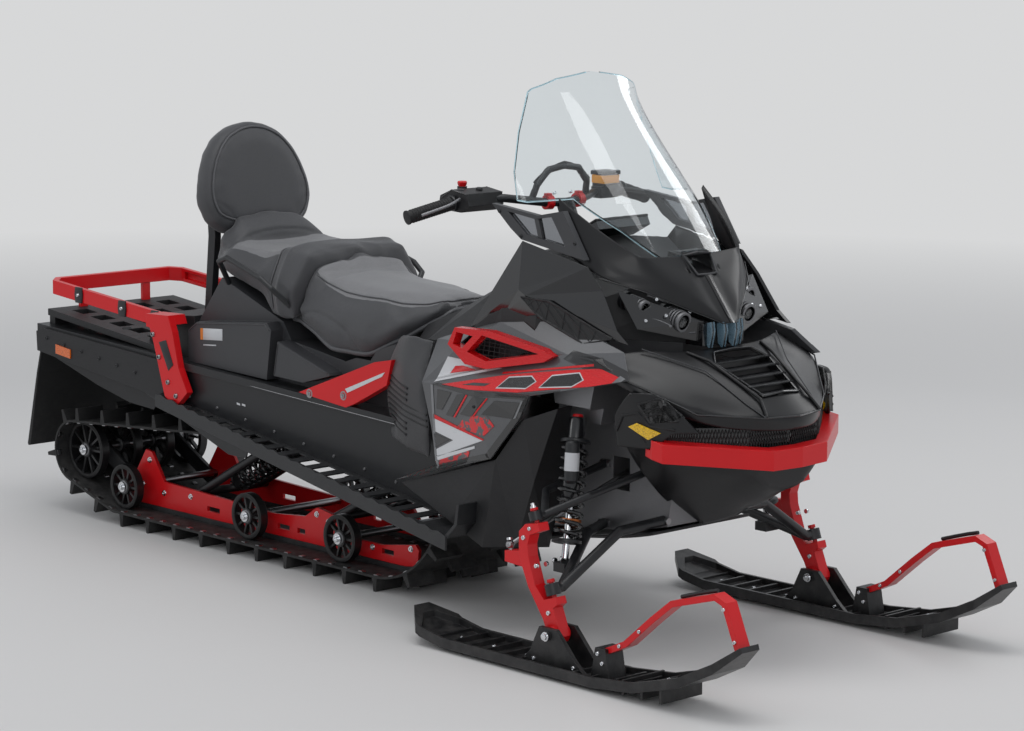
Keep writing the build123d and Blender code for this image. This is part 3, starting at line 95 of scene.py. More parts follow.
# ------------------------------------------------------------------ node helpers
class Nodes:
    """Adds nodes to a tree; a socket given as an input's value is linked to it."""

    def __init__(self, tree):
        self.tree = tree

    def add(self, kind, sockets=None, **settings):
        made = self.tree.nodes.new(kind)
        for key, value in settings.items():
            setattr(made, key, value)
        for key, value in (sockets or {}).items():
            self.give(made.inputs[key], value)
        return made

    def give(self, socket, value):
        if isinstance(value, bpy.types.NodeSocket):
            self.tree.links.new(value, socket)
        else:
            socket.default_value = value

    def sum(self, operation, a, b=0.0, c=None, clamp=False):
        made = self.add("ShaderNodeMath", operation=operation, use_clamp=clamp)
        for socket, value in zip(made.inputs, (a, b, c)):
            if value is not None:
                self.give(socket, value)
        return made.outputs[0]

    def mix(self, factor, a, b):
        made = self.add("ShaderNodeMix", data_type="RGBA")
        for index, value in ((0, factor), (6, a), (7, b)):
            if not isinstance(value, bpy.types.NodeSocket) and index:
                value = (*value, 1.0)
            self.give(made.inputs[index], value)
        return made.outputs[2]

    def blend(self, factor, a, b):
        made = self.add("ShaderNodeMix", data_type="FLOAT")
        for index, value in ((0, factor), (2, a), (3, b)):
            self.give(made.inputs[index], value)
        return made.outputs[0]

    def ramp(self, value, low, high):
        made = self.add("ShaderNodeMapRange", {"Value": value, "From Min": low, "From Max": high}, clamp=True)
        return made.outputs[0]

    def place(self):
        return self.add("ShaderNodeTexCoord").outputs["Object"]

    def noise(self, scale, detail=3.0, rough=0.5, at=None):
        return self.add("ShaderNodeTexNoise", {"Vector": at or self.place(), "Scale": scale, "Detail": detail,
                                               "Roughness": rough}).outputs[0]


def group(name, inputs, outputs, build):
    """Shader node group made once, with named float, colour or vector sockets."""
    tree = bpy.data.node_groups.get(name)
    if tree:
        return tree
    tree = bpy.data.node_groups.new(name, "ShaderNodeTree")
    kinds = {float: "NodeSocketFloat", tuple: "NodeSocketColor", Vector: "NodeSocketVector"}
    for label, value in inputs:
        made = tree.interface.new_socket(label, in_out="INPUT", socket_type=kinds[type(value)])
        made.default_value = (*value, 1.0) if isinstance(value, tuple) else value
    for label, value in outputs:
        tree.interface.new_socket(label, in_out="OUTPUT", socket_type=kinds[type(value)])
    n = Nodes(tree)
    start, end = n.add("NodeGroupInput"), n.add("NodeGroupOutput")
    for label, value in build(n, start.outputs).items():
        n.give(end.inputs[label], value)
    return tree


def grain_group():
    """Fine moulded grain as a height, and a soft tone mask."""
    def build(n, i):
        at = n.place()
        cells = n.add("ShaderNodeTexVoronoi", {"Vector": at, "Scale": i["Scale"]}, feature="SMOOTH_F1")
        fine = n.noise(i["Scale"], 2.0, at=at)
        height = n.sum("ADD", n.sum("MULTIPLY", cells.outputs["Distance"], 0.7), n.sum("MULTIPLY", fine, 0.5))
        return {"Height": n.sum("MULTIPLY", height, i["Depth"]), "Tone": n.noise(3.1, 4.0, 0.6, at)}
    return group("Moulded grain", [("Scale", 900.0), ("Depth", 1.0)], [("Height", 0.0), ("Tone", 0.0)], build)


def wear_group():
    """Rounded edge normals, and a mask of the worn edges themselves."""
    def build(n, i):
        soft = n.add("ShaderNodeBevel", {"Radius": i["Radius"]}, samples=4)
        hard = n.add("ShaderNodeNewGeometry")
        dot = n.add("ShaderNodeVectorMath", operation="DOT_PRODUCT")
        n.give(dot.inputs[0], soft.outputs[0])
        n.give(dot.inputs[1], hard.outputs["Normal"])
        edge = n.ramp(n.sum("SUBTRACT", 1.0, dot.outputs["Value"]), 0.02, 0.22)
        broken = n.ramp(n.noise(38.0, 5.0, 0.65), 0.42, 0.68)
        return {"Edge": n.sum("MULTIPLY", edge, broken), "Normal": soft.outputs[0]}
    return group("Edge wear", [("Radius", 0.0025)], [("Edge", 0.0), ("Normal", Vector())], build)


def scuff_group():
    """Thin streaks and hazy patches that change the roughness."""
    def build(n, i):
        stretch = n.add("ShaderNodeMapping", {"Vector": n.place(), "Scale": (3.0, 3.0, 22.0)})
        streak = n.ramp(n.noise(14.0, 6.0, 0.7, stretch.outputs[0]), 0.52, 0.82)
        haze = n.noise(2.3, 4.0, 0.6)
        return {"Scuff": n.sum("MULTIPLY", n.sum("ADD", streak, n.sum("MULTIPLY", haze, 0.6)), i["Amount"])}
    return group("Scuffs", [("Amount", 0.2)], [("Scuff", 0.0)], build)


def dust_group():
    """Pale dust low on the sled and on faces that look up."""
    def build(n, i):
        split = n.add("ShaderNodeSeparateXYZ", {"Vector": n.place()})
        low = n.ramp(split.outputs["Z"], i["Height"], 0.0)
        up = n.add("ShaderNodeSeparateXYZ", {"Vector": n.add("ShaderNodeNewGeometry").outputs["Normal"]})
        top = n.ramp(up.outputs["Z"], 0.2, 1.0)
        patches = n.ramp(n.noise(24.0, 6.0, 0.7), 0.4, 0.75)
        amount = n.sum("MULTIPLY", patches, n.sum("ADD", n.sum("MULTIPLY", low, 0.5),
                                                  n.sum("MULTIPLY", top, 0.35)))
        return {"Dust": n.sum("MULTIPLY", amount, i["Amount"], clamp=True)}
    return group("Dust", [("Amount", 0.5), ("Height", 0.45)], [("Dust", 0.0)], build)


DUST = (0.23, 0.22, 0.21)


def new_material(name):
    material = bpy.data.materials.new(name)
    material.use_nodes = True
    n = Nodes(material.node_tree)
    return material, n, material.node_tree.nodes["Principled BSDF"]


def use(n, tree, **values):
    made = n.add("ShaderNodeGroup")
    made.node_tree = tree
    for key, value in values.items():
        n.give(made.inputs[key], value)
    return made.outputs


def made_once(make):
    """Lets a maker of materials hand out again the one that already has the name."""
    def finish(name, *args, **settings):
        return bpy.data.materials.get(name) or make(name, *args, **settings)
    return finish


@made_once
def coated(name, base, rough=0.45, metal=0.0, coat=0.0, scale=900.0, depth=0.35, bump=0.1, edge=None,
           worn=0.0, worn_tint=(0.2, 0.2, 0.2), tone=0.25, scuff=0.12, dust=0.0, shine=0.5):
    """Paint, plastic or rubber with grain, edge wear, scuffs and dust; base is a colour or makes a socket."""
    material, n, shader = new_material(name)
    grain = use(n, grain_group(), Scale=scale, Depth=depth)
    wear = use(n, wear_group(), Radius=edge if edge is not None else sizes().edge)
    marks = use(n, scuff_group(), Amount=scuff)
    colour = base(n) if callable(base) else None
    if colour is None:
        dark = tuple(c * (1.0 - tone) for c in base)
        lit = tuple(min(1.0, c * (1.0 + tone)) for c in base)
        colour = n.mix(grain["Tone"], dark, lit)
    if worn:
        colour = n.mix(n.sum("MULTIPLY", wear["Edge"], worn), colour, worn_tint)
    if dust:
        colour = n.mix(use(n, dust_group(), Amount=dust)["Dust"], colour, DUST)
    n.give(shader.inputs["Base Color"], colour)
    n.give(shader.inputs["Roughness"], n.sum("ADD", marks["Scuff"], rough - scuff * 0.45, clamp=True))
    shader.inputs["Metallic"].default_value = metal
    shader.inputs["Coat Weight"].default_value = coat
    shader.inputs["Coat Roughness"].default_value = 0.12
    shader.inputs["Specular IOR Level"].default_value = shine
    height = n.add("ShaderNodeBump", {"Height": grain["Height"], "Normal": wear["Normal"], "Strength": bump,
                                      "Distance": 0.0006})
    n.give(shader.inputs["Normal"], height.outputs[0])
    return material


# ------------------------------------------------------------------ finishes
def red_metal():
    return coated("Red paint", colours().red, rough=0.34, coat=0.15, scale=420.0, depth=0.3, bump=0.05,
                  worn=0.35, worn_tint=(0.85, 0.06, 0.05), tone=0.1, scuff=0.12, dust=0.04, shine=0.35)


def red_plastic():
    return coated("Red gloss plastic", colours().red, rough=0.28, coat=0.25, scale=300.0, depth=0.1,
                  bump=0.03, tone=0.1, shine=0.35)


def body_black():
    return coated("Satin body black", colours().body, rough=0.36, coat=0.12, scale=700.0, depth=0.25,
                  bump=0.06, edge=0.006, worn=0.3, worn_tint=(0.1, 0.1, 0.105), scuff=0.1, shine=0.4)


def gloss_black():
    return coated("Gloss black", (0.006, 0.006, 0.007), rough=0.16, coat=0.8, scale=260.0, depth=0.06,
                  bump=0.02, scuff=0.07)


def grained_black():
    return coated("Grained black plastic", (0.014, 0.014, 0.0155), rough=0.55, scale=850.0, depth=0.9,
                  bump=0.35, worn=0.3, worn_tint=(0.08, 0.08, 0.08), scuff=0.15, dust=0.25)


def ski_black():
    return coated("Moulded ski plastic", (0.009, 0.009, 0.01), rough=0.42, scale=500.0, depth=0.5, bump=0.15,
                  worn=0.5, worn_tint=(0.1, 0.1, 0.1), scuff=0.22, dust=0.3)


def coat_black():
    return coated("Black powder coat", (0.011, 0.012, 0.014), rough=0.42, coat=0.1, scale=1300.0, depth=0.8,
                  bump=0.25, worn=0.4, worn_tint=(0.16, 0.16, 0.17), scuff=0.14, dust=0.2)


def rubber():
    return coated("Track rubber", (0.012, 0.012, 0.0125), rough=0.72, scale=650.0, depth=0.9, bump=0.4,
                  worn=0.5, worn_tint=(0.07, 0.07, 0.07), scuff=0.2, dust=0.35)


def wheel_black():
    return coated("Smooth wheel plastic", (0.01, 0.01, 0.011), rough=0.32, scale=500.0, depth=0.3, bump=0.08,
                  worn=0.4, worn_tint=(0.12, 0.12, 0.12), scuff=0.14, dust=0.12)


def grey_plastic():
    return coated("Dark grey plastic", colours().trim, rough=0.42, scale=850.0, depth=0.7, bump=0.25,
                  worn=0.3, worn_tint=(0.16, 0.16, 0.17), scuff=0.14)


def steel():
    return coated("Plain steel", (0.36, 0.36, 0.37), rough=0.32, metal=1.0, scale=260.0, depth=0.3, bump=0.06,
                  edge=0.001, scuff=0.2)


def chrome():
    return coated("Bright plated steel", (0.72, 0.73, 0.75), rough=0.14, metal=1.0, scale=240.0, depth=0.1,
                  bump=0.02, edge=0.001, scuff=0.1)


def cast_metal():
    return coated("Cast aluminium", (0.26, 0.26, 0.27), rough=0.5, metal=0.85, scale=380.0, depth=0.9,
                  bump=0.3, scuff=0.15)


def hard_rubber():
    return coated("Grip rubber", (0.012, 0.012, 0.013), rough=0.62, scale=1200.0, depth=0.7, bump=0.3,
                  scuff=0.12)


def silver_panel():
    """Silver grey plastic with fine metal flakes."""
    def base(n):
        at = n.place()
        flakes = n.add("ShaderNodeTexVoronoi", {"Vector": at, "Scale": 1500.0}).outputs["Color"]
        speck = n.add("ShaderNodeSeparateColor", {"Color": flakes}).outputs[0]
        dark, lit = (tuple(c * k for c in colours().panel) for k in (0.82, 1.22))
        return n.mix(n.sum("MULTIPLY", speck, 0.9), dark, lit)
    return coated("Silver grey panel", base, rough=0.34, coat=0.4, metal=0.25, scale=600.0, depth=0.1,
                  bump=0.03)


@made_once
def lens(name, base):
    """Moulded reflector: a fine grid of prisms under clear plastic, with a faint painted glow."""
    material, n, shader = new_material(name)
    cells = n.add("ShaderNodeTexVoronoi", {"Vector": n.place(), "Scale": 320.0}, distance="CHEBYCHEV")
    shade = n.ramp(cells.outputs["Distance"], 0.0, 0.7)
    n.give(shader.inputs["Base Color"], n.mix(shade, base, tuple(c * 0.45 for c in base)))
    n.give(shader.inputs["Roughness"], n.ramp(n.noise(60.0), 0.0, 6.0))
    shader.inputs["Coat Weight"].default_value = 1.0
    # Painted glow: the lens gives off a little light though it is no lit lamp.
    shader.inputs["Emission Strength"].default_value = 0.12
    n.give(shader.inputs["Emission Color"], n.mix(shade, base, tuple(c * 0.3 for c in base)))
    bump = n.add("ShaderNodeBump", {"Height": cells.outputs["Distance"], "Strength": 0.5, "Distance": 0.0008})
    n.give(shader.inputs["Normal"], bump.outputs[0])
    return material


def red_lens():
    return lens("Red lens", (0.55, 0.01, 0.012))


def yellow_lens():
    return lens("Yellow lens", colours().yellow)


@made_once
def clear(name, base, rough=0.02, ior=1.45):
    """Clear plastic with a light haze in its colour and gloss."""
    material, n, shader = new_material(name)
    haze = n.ramp(n.noise(5.0, 5.0, 0.7), 0.45, 0.8)
    n.give(shader.inputs["Base Color"], n.mix(haze, base, tuple(c * 0.97 for c in base)))
    n.give(shader.inputs["Roughness"], n.sum("MULTIPLY_ADD", haze, 0.015, rough))
    shader.inputs["Metallic"].default_value = 0.0
    shader.inputs["Transmission Weight"].default_value = 1.0
    shader.inputs["IOR"].default_value = ior
    return material


def screen_clear():
    return clear("Clear screen", (0.9, 0.95, 0.97))


def lamp_clear():
    return clear("Clear lamp cover", (0.93, 0.96, 0.98))


def dark_pane():
    return clear("Smoked pane", (0.25, 0.26, 0.28), rough=0.05)


@made_once
def dark_glass(name):
    """Dark instrument glass, lighter in soft patches."""
    material, n, shader = new_material(name)
    haze = n.noise(6.0, 4.0)
    n.give(shader.inputs["Base Color"], n.mix(haze, (0.01, 0.012, 0.016), (0.03, 0.035, 0.045)))
    n.give(shader.inputs["Roughness"], n.sum("MULTIPLY", haze, 0.14))
    shader.inputs["Coat Weight"].default_value = 1.0
    return material


@made_once
def vinyl(name, base, rough=0.5):
    """Grained seat vinyl: leather cells, fine pores and a soft sheen."""
    material, n, shader = new_material(name)
    at = n.place()
    warp = n.add("ShaderNodeVectorMath", operation="MULTIPLY_ADD")
    n.give(warp.inputs[0], n.add("ShaderNodeTexNoise", {"Vector": at, "Scale": 60.0}).outputs["Color"])
    n.give(warp.inputs[1], (0.004, 0.004, 0.004))
    n.give(warp.inputs[2], at)
    cells = n.add("ShaderNodeTexVoronoi", {"Vector": warp.outputs[0], "Scale": 420.0},
                  feature="DISTANCE_TO_EDGE")
    crease = n.ramp(cells.outputs["Distance"], 0.0, 0.16)
    tone = n.noise(4.0, 4.0, 0.6)
    dark, lit = tuple(c * 0.72 for c in base), tuple(c * 1.3 for c in base)
    n.give(shader.inputs["Base Color"], n.mix(n.sum("MULTIPLY", crease, tone), dark, lit))
    n.give(shader.inputs["Roughness"], n.sum("MULTIPLY_ADD", tone, 0.16, rough - 0.08))
    shader.inputs["Sheen Weight"].default_value = 0.2
    shader.inputs["Sheen Roughness"].default_value = 0.4
    bump = n.add("ShaderNodeBump", {"Height": crease, "Strength": 0.3, "Distance": 0.0005})
    n.give(shader.inputs["Normal"], bump.outputs[0])
    return material


def seat_side():
    return vinyl("Bench vinyl", colours().vinyl)


# The seamed top panels are real; their lighter tone is painted light falling from above.
def seat_lit_top():
    return vinyl("Bench lit top vinyl", colours().vinyl_lit_top, 0.46)


def piping_vinyl():
    return vinyl("Piping vinyl", (0.09, 0.091, 0.098), 0.4)


def knee_vinyl():
    return vinyl("Knee vinyl", (0.028, 0.0285, 0.032), 0.4)


# Black rubber for the knee ribs; the same finish colours the dark backing plates that are painted shade.
def ribs_and_shade_backing():
    return coated("Ribbed rubber", (0.012, 0.012, 0.013), rough=0.5, scale=700.0, depth=0.5, bump=0.15,
                  worn=0.4, worn_tint=(0.11, 0.11, 0.115))


def white_film():
    return coated("White film", (0.66, 0.67, 0.69), rough=0.3, coat=0.4, scale=400.0, depth=0.1, bump=0.02,
                  tone=0.05)


def pale_film():
    return coated("Pale grey film", (0.22, 0.225, 0.235), rough=0.3, coat=0.4, metal=0.2, scale=400.0,
                  depth=0.1, bump=0.02, tone=0.1)


def orange_film():
    return coated("Orange film", (0.72, 0.2, 0.02), rough=0.35, coat=0.3, scale=400.0, depth=0.1, bump=0.02,
                  tone=0.08)


def bare_label():
    return coated("Bare label", (0.58, 0.59, 0.61), rough=0.32, coat=0.3, scale=300.0, depth=0.1, bump=0.02,
                  tone=0.06)


def shock_body():
    return coated("Damper body", (0.014, 0.014, 0.016), rough=0.22, coat=0.5, scale=500.0, depth=0.1,
                  bump=0.03)


def spring_black():
    return coated("Spring wire", (0.012, 0.012, 0.013), rough=0.2, coat=0.7, scale=500.0, depth=0.2,
                  bump=0.05, worn=0.3, worn_tint=(0.2, 0.2, 0.2))


def copper_ring():
    return coated("Copper ring", (0.42, 0.13, 0.04), rough=0.3, metal=0.8, scale=300.0, depth=0.2, bump=0.05)


def speckled_red():
    """Torn red paint over the panel's grey."""
    def base(n):
        blots = n.noise(42.0, 6.0, 0.62)
        torn = n.ramp(blots, 0.485, 0.5)
        lit = n.mix(n.noise(8.0), tuple(c * 0.8 for c in colours().panel), colours().panel)
        return n.mix(torn, lit, colours().red)
    return coated("Speckled film", base, rough=0.32, coat=0.4, scale=500.0, depth=0.1, bump=0.02)


def screen_rim():
    """Polished, tinted edge of the clear screen."""
    return clear("Polished screen edge", (0.62, 0.86, 0.95), rough=0.08, ior=1.3)


@made_once
def glowing(name, base, rough, scale, low, high, strength, passes):
    """Clear plastic with a painted glow between two tones; passes is the share let through."""
    material = clear(name, base, rough=rough)
    n = Nodes(material.node_tree)
    shader = material.node_tree.nodes["Principled BSDF"]
    level = n.ramp(n.noise(scale, 2.0), 0.3, 0.7)
    n.give(shader.inputs["Emission Color"], n.mix(level, low, high))
    shader.inputs["Emission Strength"].default_value = strength
    shader.inputs["Transmission Weight"].default_value = passes
    return material


# Painted glow standing in for the guides' bright highlights.
def light_guide():
    return glowing("Light guide", (0.4, 0.62, 0.78), 0.05, 30.0, (0.12, 0.28, 0.4), (0.5, 0.75, 0.95), 0.06,
                   0.85)


# Painted glow: the fluid window gives off light though it is no lamp.
def amber_window():
    return glowing("Amber window", (0.95, 0.42, 0.05), 0.1, 20.0, (0.5, 0.16, 0.01), (0.8, 0.3, 0.03), 0.2,
                   0.4)


NODE_FINISH = {
    "black_rubber": rubber, "red_metal": red_metal, "black_plastic": grained_black,
    "wheel_plastic": wheel_black,
    "dark_steel": steel, "black_metal": coat_black, "shock_black": coat_black, "grey_plastic": grey_plastic,
    "seat_vinyl": seat_side, "silver_plastic": silver_panel, "red_plastic": red_plastic,
    "grey_metal": cast_metal,
    "black_gloss": gloss_black, "black_satin": body_black, "clear_glass": screen_clear,
    "lamp_glass": lamp_clear,
    "screen_glass": lambda: dark_glass("Dark display"), "ski_plastic": ski_black,
    "amber_lens": lambda: lens("Amber lens", colours().amber),
    "red_lens": red_lens, "yellow_lens": yellow_lens,
}
SLOTS = {part["node"]: part["material_slot"] for part in frame["record"]["subparts"]}
NODE_OWN = {"headlamps": gloss_black, "hood": body_black, "hood_grille": gloss_black}


class SLED_OT_finishes(bpy.types.Operator):
    """Gives every node of the frame the finish of its slot"""
    bl_idname = "sled.finishes"
    bl_label = "Frame finishes"

    def execute(self, context):
        for name, obj in frame["nodes"].items():
            finish = NODE_OWN.get(name, NODE_FINISH[SLOTS[name]])()
            for place in obj.material_slots:
                place.material = finish
        return {"FINISHED"}


# ------------------------------------------------------------------ modelling kit
MM = 0.001
COIL_STEPS = 20  # pieces in one turn of a spring


def at(x, y, z):
    """Place given in millimetres."""
    return Vector((x, y, z)) * MM


def closed(ring):
    """Each corner of a ring with the next one."""
    return list(zip(ring, ring[1:] + ring[:1]))


def anticlockwise(ring):
    """The ring of pairs, turned round if it runs clockwise."""
    area = sum(a[0] * b[1] - b[0] * a[1] for a, b in closed(ring))
    return ring[::-1] if area < 0 else ring


def far_side(points):
    """The same places on the other side of the middle."""
    return [(x, -y, z) for x, y, z in points]


def link(name, bm):
    """Object of a mesh in the making, which ends here."""
    mesh = bpy.data.meshes.new(name)
    bm.to_mesh(mesh)
    bm.free()
    obj = bpy.data.objects.new(name, mesh)
    bpy.context.collection.objects.link(obj)
    return obj


def baked(obj):
    """Mesh of the object with its modifiers applied."""
    graph = bpy.context.evaluated_depsgraph_get()
    return bpy.data.meshes.new_from_object(obj.evaluated_get(graph))


def route(points, radius=0.0, smooth=True, loop=False):
    """Mesh of a round run through places in metres, or its bare line when the radius is nought."""
    data = bpy.data.curves.new("run", "CURVE")
    data.dimensions, data.resolution_u = "3D", 6
    data.bevel_depth, data.bevel_resolution, data.use_fill_caps = radius, 2, True
    spline = data.splines.new("NURBS" if smooth else "POLY")
    spline.points.add(len(points) - 1)
    for knot, place in zip(spline.points, points):
        knot.co = (*place, 1.0)
    if smooth:
        spline.order_u, spline.use_endpoint_u = 3, not loop
    spline.use_cyclic_u = loop
    obj = bpy.data.objects.new("run", data)
    mesh = bpy.data.meshes.new_from_object(obj)
    bpy.data.objects.remove(obj)
    bpy.data.curves.remove(data)
    return mesh


class Piece:
    """A mesh in the making: each shape has its own finish, places and lengths are in millimetres."""

    def __init__(self, name):
        self.name, self.bm, self.finishes = name, bmesh.new(), []

    def join(self, bm, finish, both=False, solid=True):
        bmesh.ops.remove_doubles(bm, verts=bm.verts, dist=1e-6)
        if solid:
            bmesh.ops.recalc_face_normals(bm, faces=bm.faces)
        if finish not in self.finishes:
            self.finishes.append(finish)
        for face in bm.faces:
            face.material_index = self.finishes.index(finish)
        mesh = bpy.data.meshes.new("shape")
        bm.to_mesh(mesh)
        self.bm.from_mesh(mesh)
        if both:
            bmesh.ops.scale(bm, vec=(1.0, -1.0, 1.0), verts=bm.verts)
            bmesh.ops.reverse_faces(bm, faces=bm.faces)
            bm.to_mesh(mesh)
            self.bm.from_mesh(mesh)
        bm.free()
        bpy.data.meshes.remove(mesh)

    def slab(self, ring, along, finish, edge=0.0, both=False):
        """Ring of places carried along a vector, with rounded edges."""
        bm = bmesh.new()
        face = bm.faces.new([bm.verts.new(at(*p)) for p in ring])
        made = bmesh.ops.extrude_face_region(bm, geom=[face])["geom"]
        bmesh.ops.translate(bm, verts=[v for v in made if isinstance(v, bmesh.types.BMVert)], vec=at(*along))
        if edge:
            bmesh.ops.bevel(bm, geom=bm.edges[:], offset=edge * MM, offset_type="OFFSET", affect="EDGES",
                            segments=2, profile=0.5, material=-1, clamp_overlap=True)
        self.join(bm, finish, both)

    def turn(self, a, b, profile, finish, steps=24, both=False, loop=False):
        """Spins (along, radius) pairs about the line from a towards b."""
        bm = bmesh.new()
        start, axis = at(*a), (at(*b) - at(*a)).normalized()
        side = axis.orthogonal().normalized()
        verts = [bm.verts.new(start + axis * along * MM + side * r * MM) for along, r in profile]
        edges = [bm.edges.new(pair) for pair in zip(verts, verts[1:] + (verts[:1] if loop else []))]
        bmesh.ops.spin(bm, geom=verts + edges, cent=start, axis=axis, angle=2 * pi, steps=steps,
                       use_merge=True)
        self.join(bm, finish, both)

    def bolt(self, place, axis, r, finish, both=False):
        """Button head with a recessed socket."""
        p, n = Vector(place), Vector(axis).normalized()
        rim = [(-0.5 * r, 0), (-0.5 * r, r), (0.3 * r, r), (0.7 * r, 0.78 * r), (0.7 * r, 0.5 * r),
               (0.2 * r, 0.45 * r), (0.2 * r, 0)]
        self.turn(p, p + n, rim, finish, 12, both)

    def tube(self, points, r, finish, smooth=True, loop=False, both=False):
        mesh = route([at(*p) for p in points], r * MM, smooth, loop)
        bm = bmesh.new()
        bm.from_mesh(mesh)
        bpy.data.meshes.remove(mesh)
        self.join(bm, finish, both)

    def coil(self, a, b, radius, wire, turns, finish, both=False):
        """Helical spring between two places."""
        bm = bmesh.new()
        start, run = at(*a), at(*b) - at(*a)
        axis = run.normalized()
        side = axis.orthogonal().normalized()
        across = axis.cross(side).to_track_quat("Z", "Y").to_matrix().to_4x4()
        bmesh.ops.create_circle(bm, segments=8, radius=wire * MM,
                                matrix=Matrix.Translation(start + side * radius * MM) @ across)
        steps = turns * COIL_STEPS
        bmesh.ops.spin(bm, geom=bm.verts[:] + bm.edges[:], cent=start, axis=axis, dvec=run / steps,
                       angle=2 * pi * turns, steps=steps)
        bmesh.ops.holes_fill(bm, edges=[e for e in bm.edges if e.is_boundary], sides=8)
        self.join(bm, finish, both)

    def film(self, source, ring, finish, lift, thick=0.4, both=True, flat="side"):
        """Lays a film on the part of a surface inside a convex ring, which is (x, z), or (x, y) in plan."""
        bm = source.copy()
        for (a, b), (c, d) in closed(anticlockwise(ring)):
            place, out = ((a, 0, b), (d - b, 0, a - c)) if flat == "side" else ((a, b, 0), (d - b, a - c, 0))
            bmesh.ops.bisect_plane(bm, geom=bm.verts[:] + bm.edges[:] + bm.faces[:], dist=1e-7,
                                   plane_co=at(*place), plane_no=Vector(out).normalized(), clear_outer=True)
        if bm.faces:
            bm.normal_update()
            for v, n in [(v, v.normal.copy()) for v in bm.verts]:
                v.co += n * lift * MM
            low = bmesh.ops.extrude_face_region(bm, geom=bm.faces[:])["geom"]
            for v in (g for g in low if isinstance(g, bmesh.types.BMVert)):
                v.co += v.normal * thick * MM
            self.join(bm, finish, both)
        else:
            bm.free()

    def done(self, body="chassis", replaces=(), angle=32.0):
        obj = link(self.name, self.bm)
        for finish in self.finishes:
            obj.data.materials.append(finish)
        obj.data.shade_smooth()
        obj.data.set_sharp_from_angle(angle=radians(angle))
        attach(obj, body)
        if replaces:
            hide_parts(*replaces)
        return obj


def surface(node, keep=lambda face: True):
    """A node's faces that pass the test, with its loose triangles joined."""
    bm = bmesh.new()
    bm.from_mesh(frame["nodes"][node].data)
    bmesh.ops.remove_doubles(bm, verts=bm.verts, dist=1e-5)
    bm.normal_update()
    bmesh.ops.delete(bm, geom=[f for f in bm.faces if not keep(f)], context="FACES")
    return bm


def outer(face):
    """True on the side where y is below nought, for faces that look outwards."""
    return face.normal.y < -0.12 and face.calc_center_median().y < 0


def between(a, b, t):
    return tuple(Vector(a).lerp(Vector(b), t))


def along(path, share):
    """Place at a share of the way through a path whose legs all count the same."""
    legs = len(path) - 1
    k = min(legs - 1, int(share * legs))
    return between(path[k], path[k + 1], share * legs - k)


# ------------------------------------------------------------------ seats
def near_to(bm, points, spread):
    """Every vertex within a distance of a line of places, as (vertex, share of the distance left)."""
    tree = KDTree(len(points))
    for i, place in enumerate(points):
        tree.insert(place, i)
    tree.balance()
    for v in bm.verts:
        gap = tree.find(v.co)[2]
        if gap < spread:
            yield v, 1.0 - gap / spread


def on_skin(tree, points, proud=0.0):
    """Places moved onto a surface."""
    out = []
    for place in points:
        spot, face, _, _ = tree.find_nearest(place)
        out.append(spot + face * proud)
    return out


def line(points, loop=False):
    """Places 3 mm apart at most on a smooth line through places in millimetres."""
    mesh = route([at(*p) for p in points], 0.0, True, loop)
    spots = [v.co.copy() for v in mesh.vertices]
    bpy.data.meshes.remove(mesh)
    fine = []
    for a, b in zip(spots, spots[1:]):
        n = max(1, int((b - a).length / 0.003))
        fine += [a.lerp(b, i / n) for i in range(n)]
    return fine + [spots[-1]]


def mirror_line(points):
    """The places and, on the far side of the middle, the same places backwards."""
    return points + [(x, -y, z) for x, y, z in reversed(points) if y]


SWELL_FRAMES = 20


def soften(bm, times):
    for _ in range(times):
        bmesh.ops.smooth_vert(bm, verts=bm.verts, factor=0.5, use_axis_x=True, use_axis_y=True,
                              use_axis_z=True)


def swollen(name, bm, voxel=0.007, smooth=8, shrink=0.004, cap=0.008, pressure=4.0, after=12):
    """Padded form: remeshed, softened, swollen by cloth pressure up to a cap, then drawn taut."""
    obj = link(name, bm)
    remesh = obj.modifiers.new("remesh", "REMESH")
    remesh.mode, remesh.voxel_size = "VOXEL", voxel
    mesh = baked(obj)
    obj.modifiers.clear()
    bm = bmesh.new()
    bm.from_mesh(mesh)
    bpy.data.meshes.remove(mesh)
    soften(bm, smooth)
    bm.normal_update()
    for v, n in [(v, v.normal.copy()) for v in bm.verts]:
        v.co -= n * shrink
    bm.to_mesh(obj.data)
    cloth = obj.modifiers.new("cloth", "CLOTH")
    s = cloth.settings
    s.quality, s.mass, s.use_pressure, s.uniform_pressure_force = 3, 0.3, True, pressure
    s.tension_stiffness = s.compression_stiffness = 20.0
    s.shear_stiffness, s.bending_stiffness = 15.0, 12.0
    s.effector_weights.gravity = 0.0
    cloth.point_cache.frame_start, cloth.point_cache.frame_end = 1, SWELL_FRAMES
    for step in range(1, SWELL_FRAMES + 1):
        bpy.context.scene.frame_set(step)
    mesh = baked(obj)
    bm.verts.ensure_lookup_table()
    for v, end in zip(bm.verts, mesh.vertices):
        move = end.co - v.co
        v.co += move * min(1.0, cap / max(move.length, 1e-9))
    bpy.data.meshes.remove(mesh)
    obj.modifiers.clear()
    bpy.context.scene.frame_set(1)
    soften(bm, after)
    bpy.data.objects.remove(obj)
    return bm


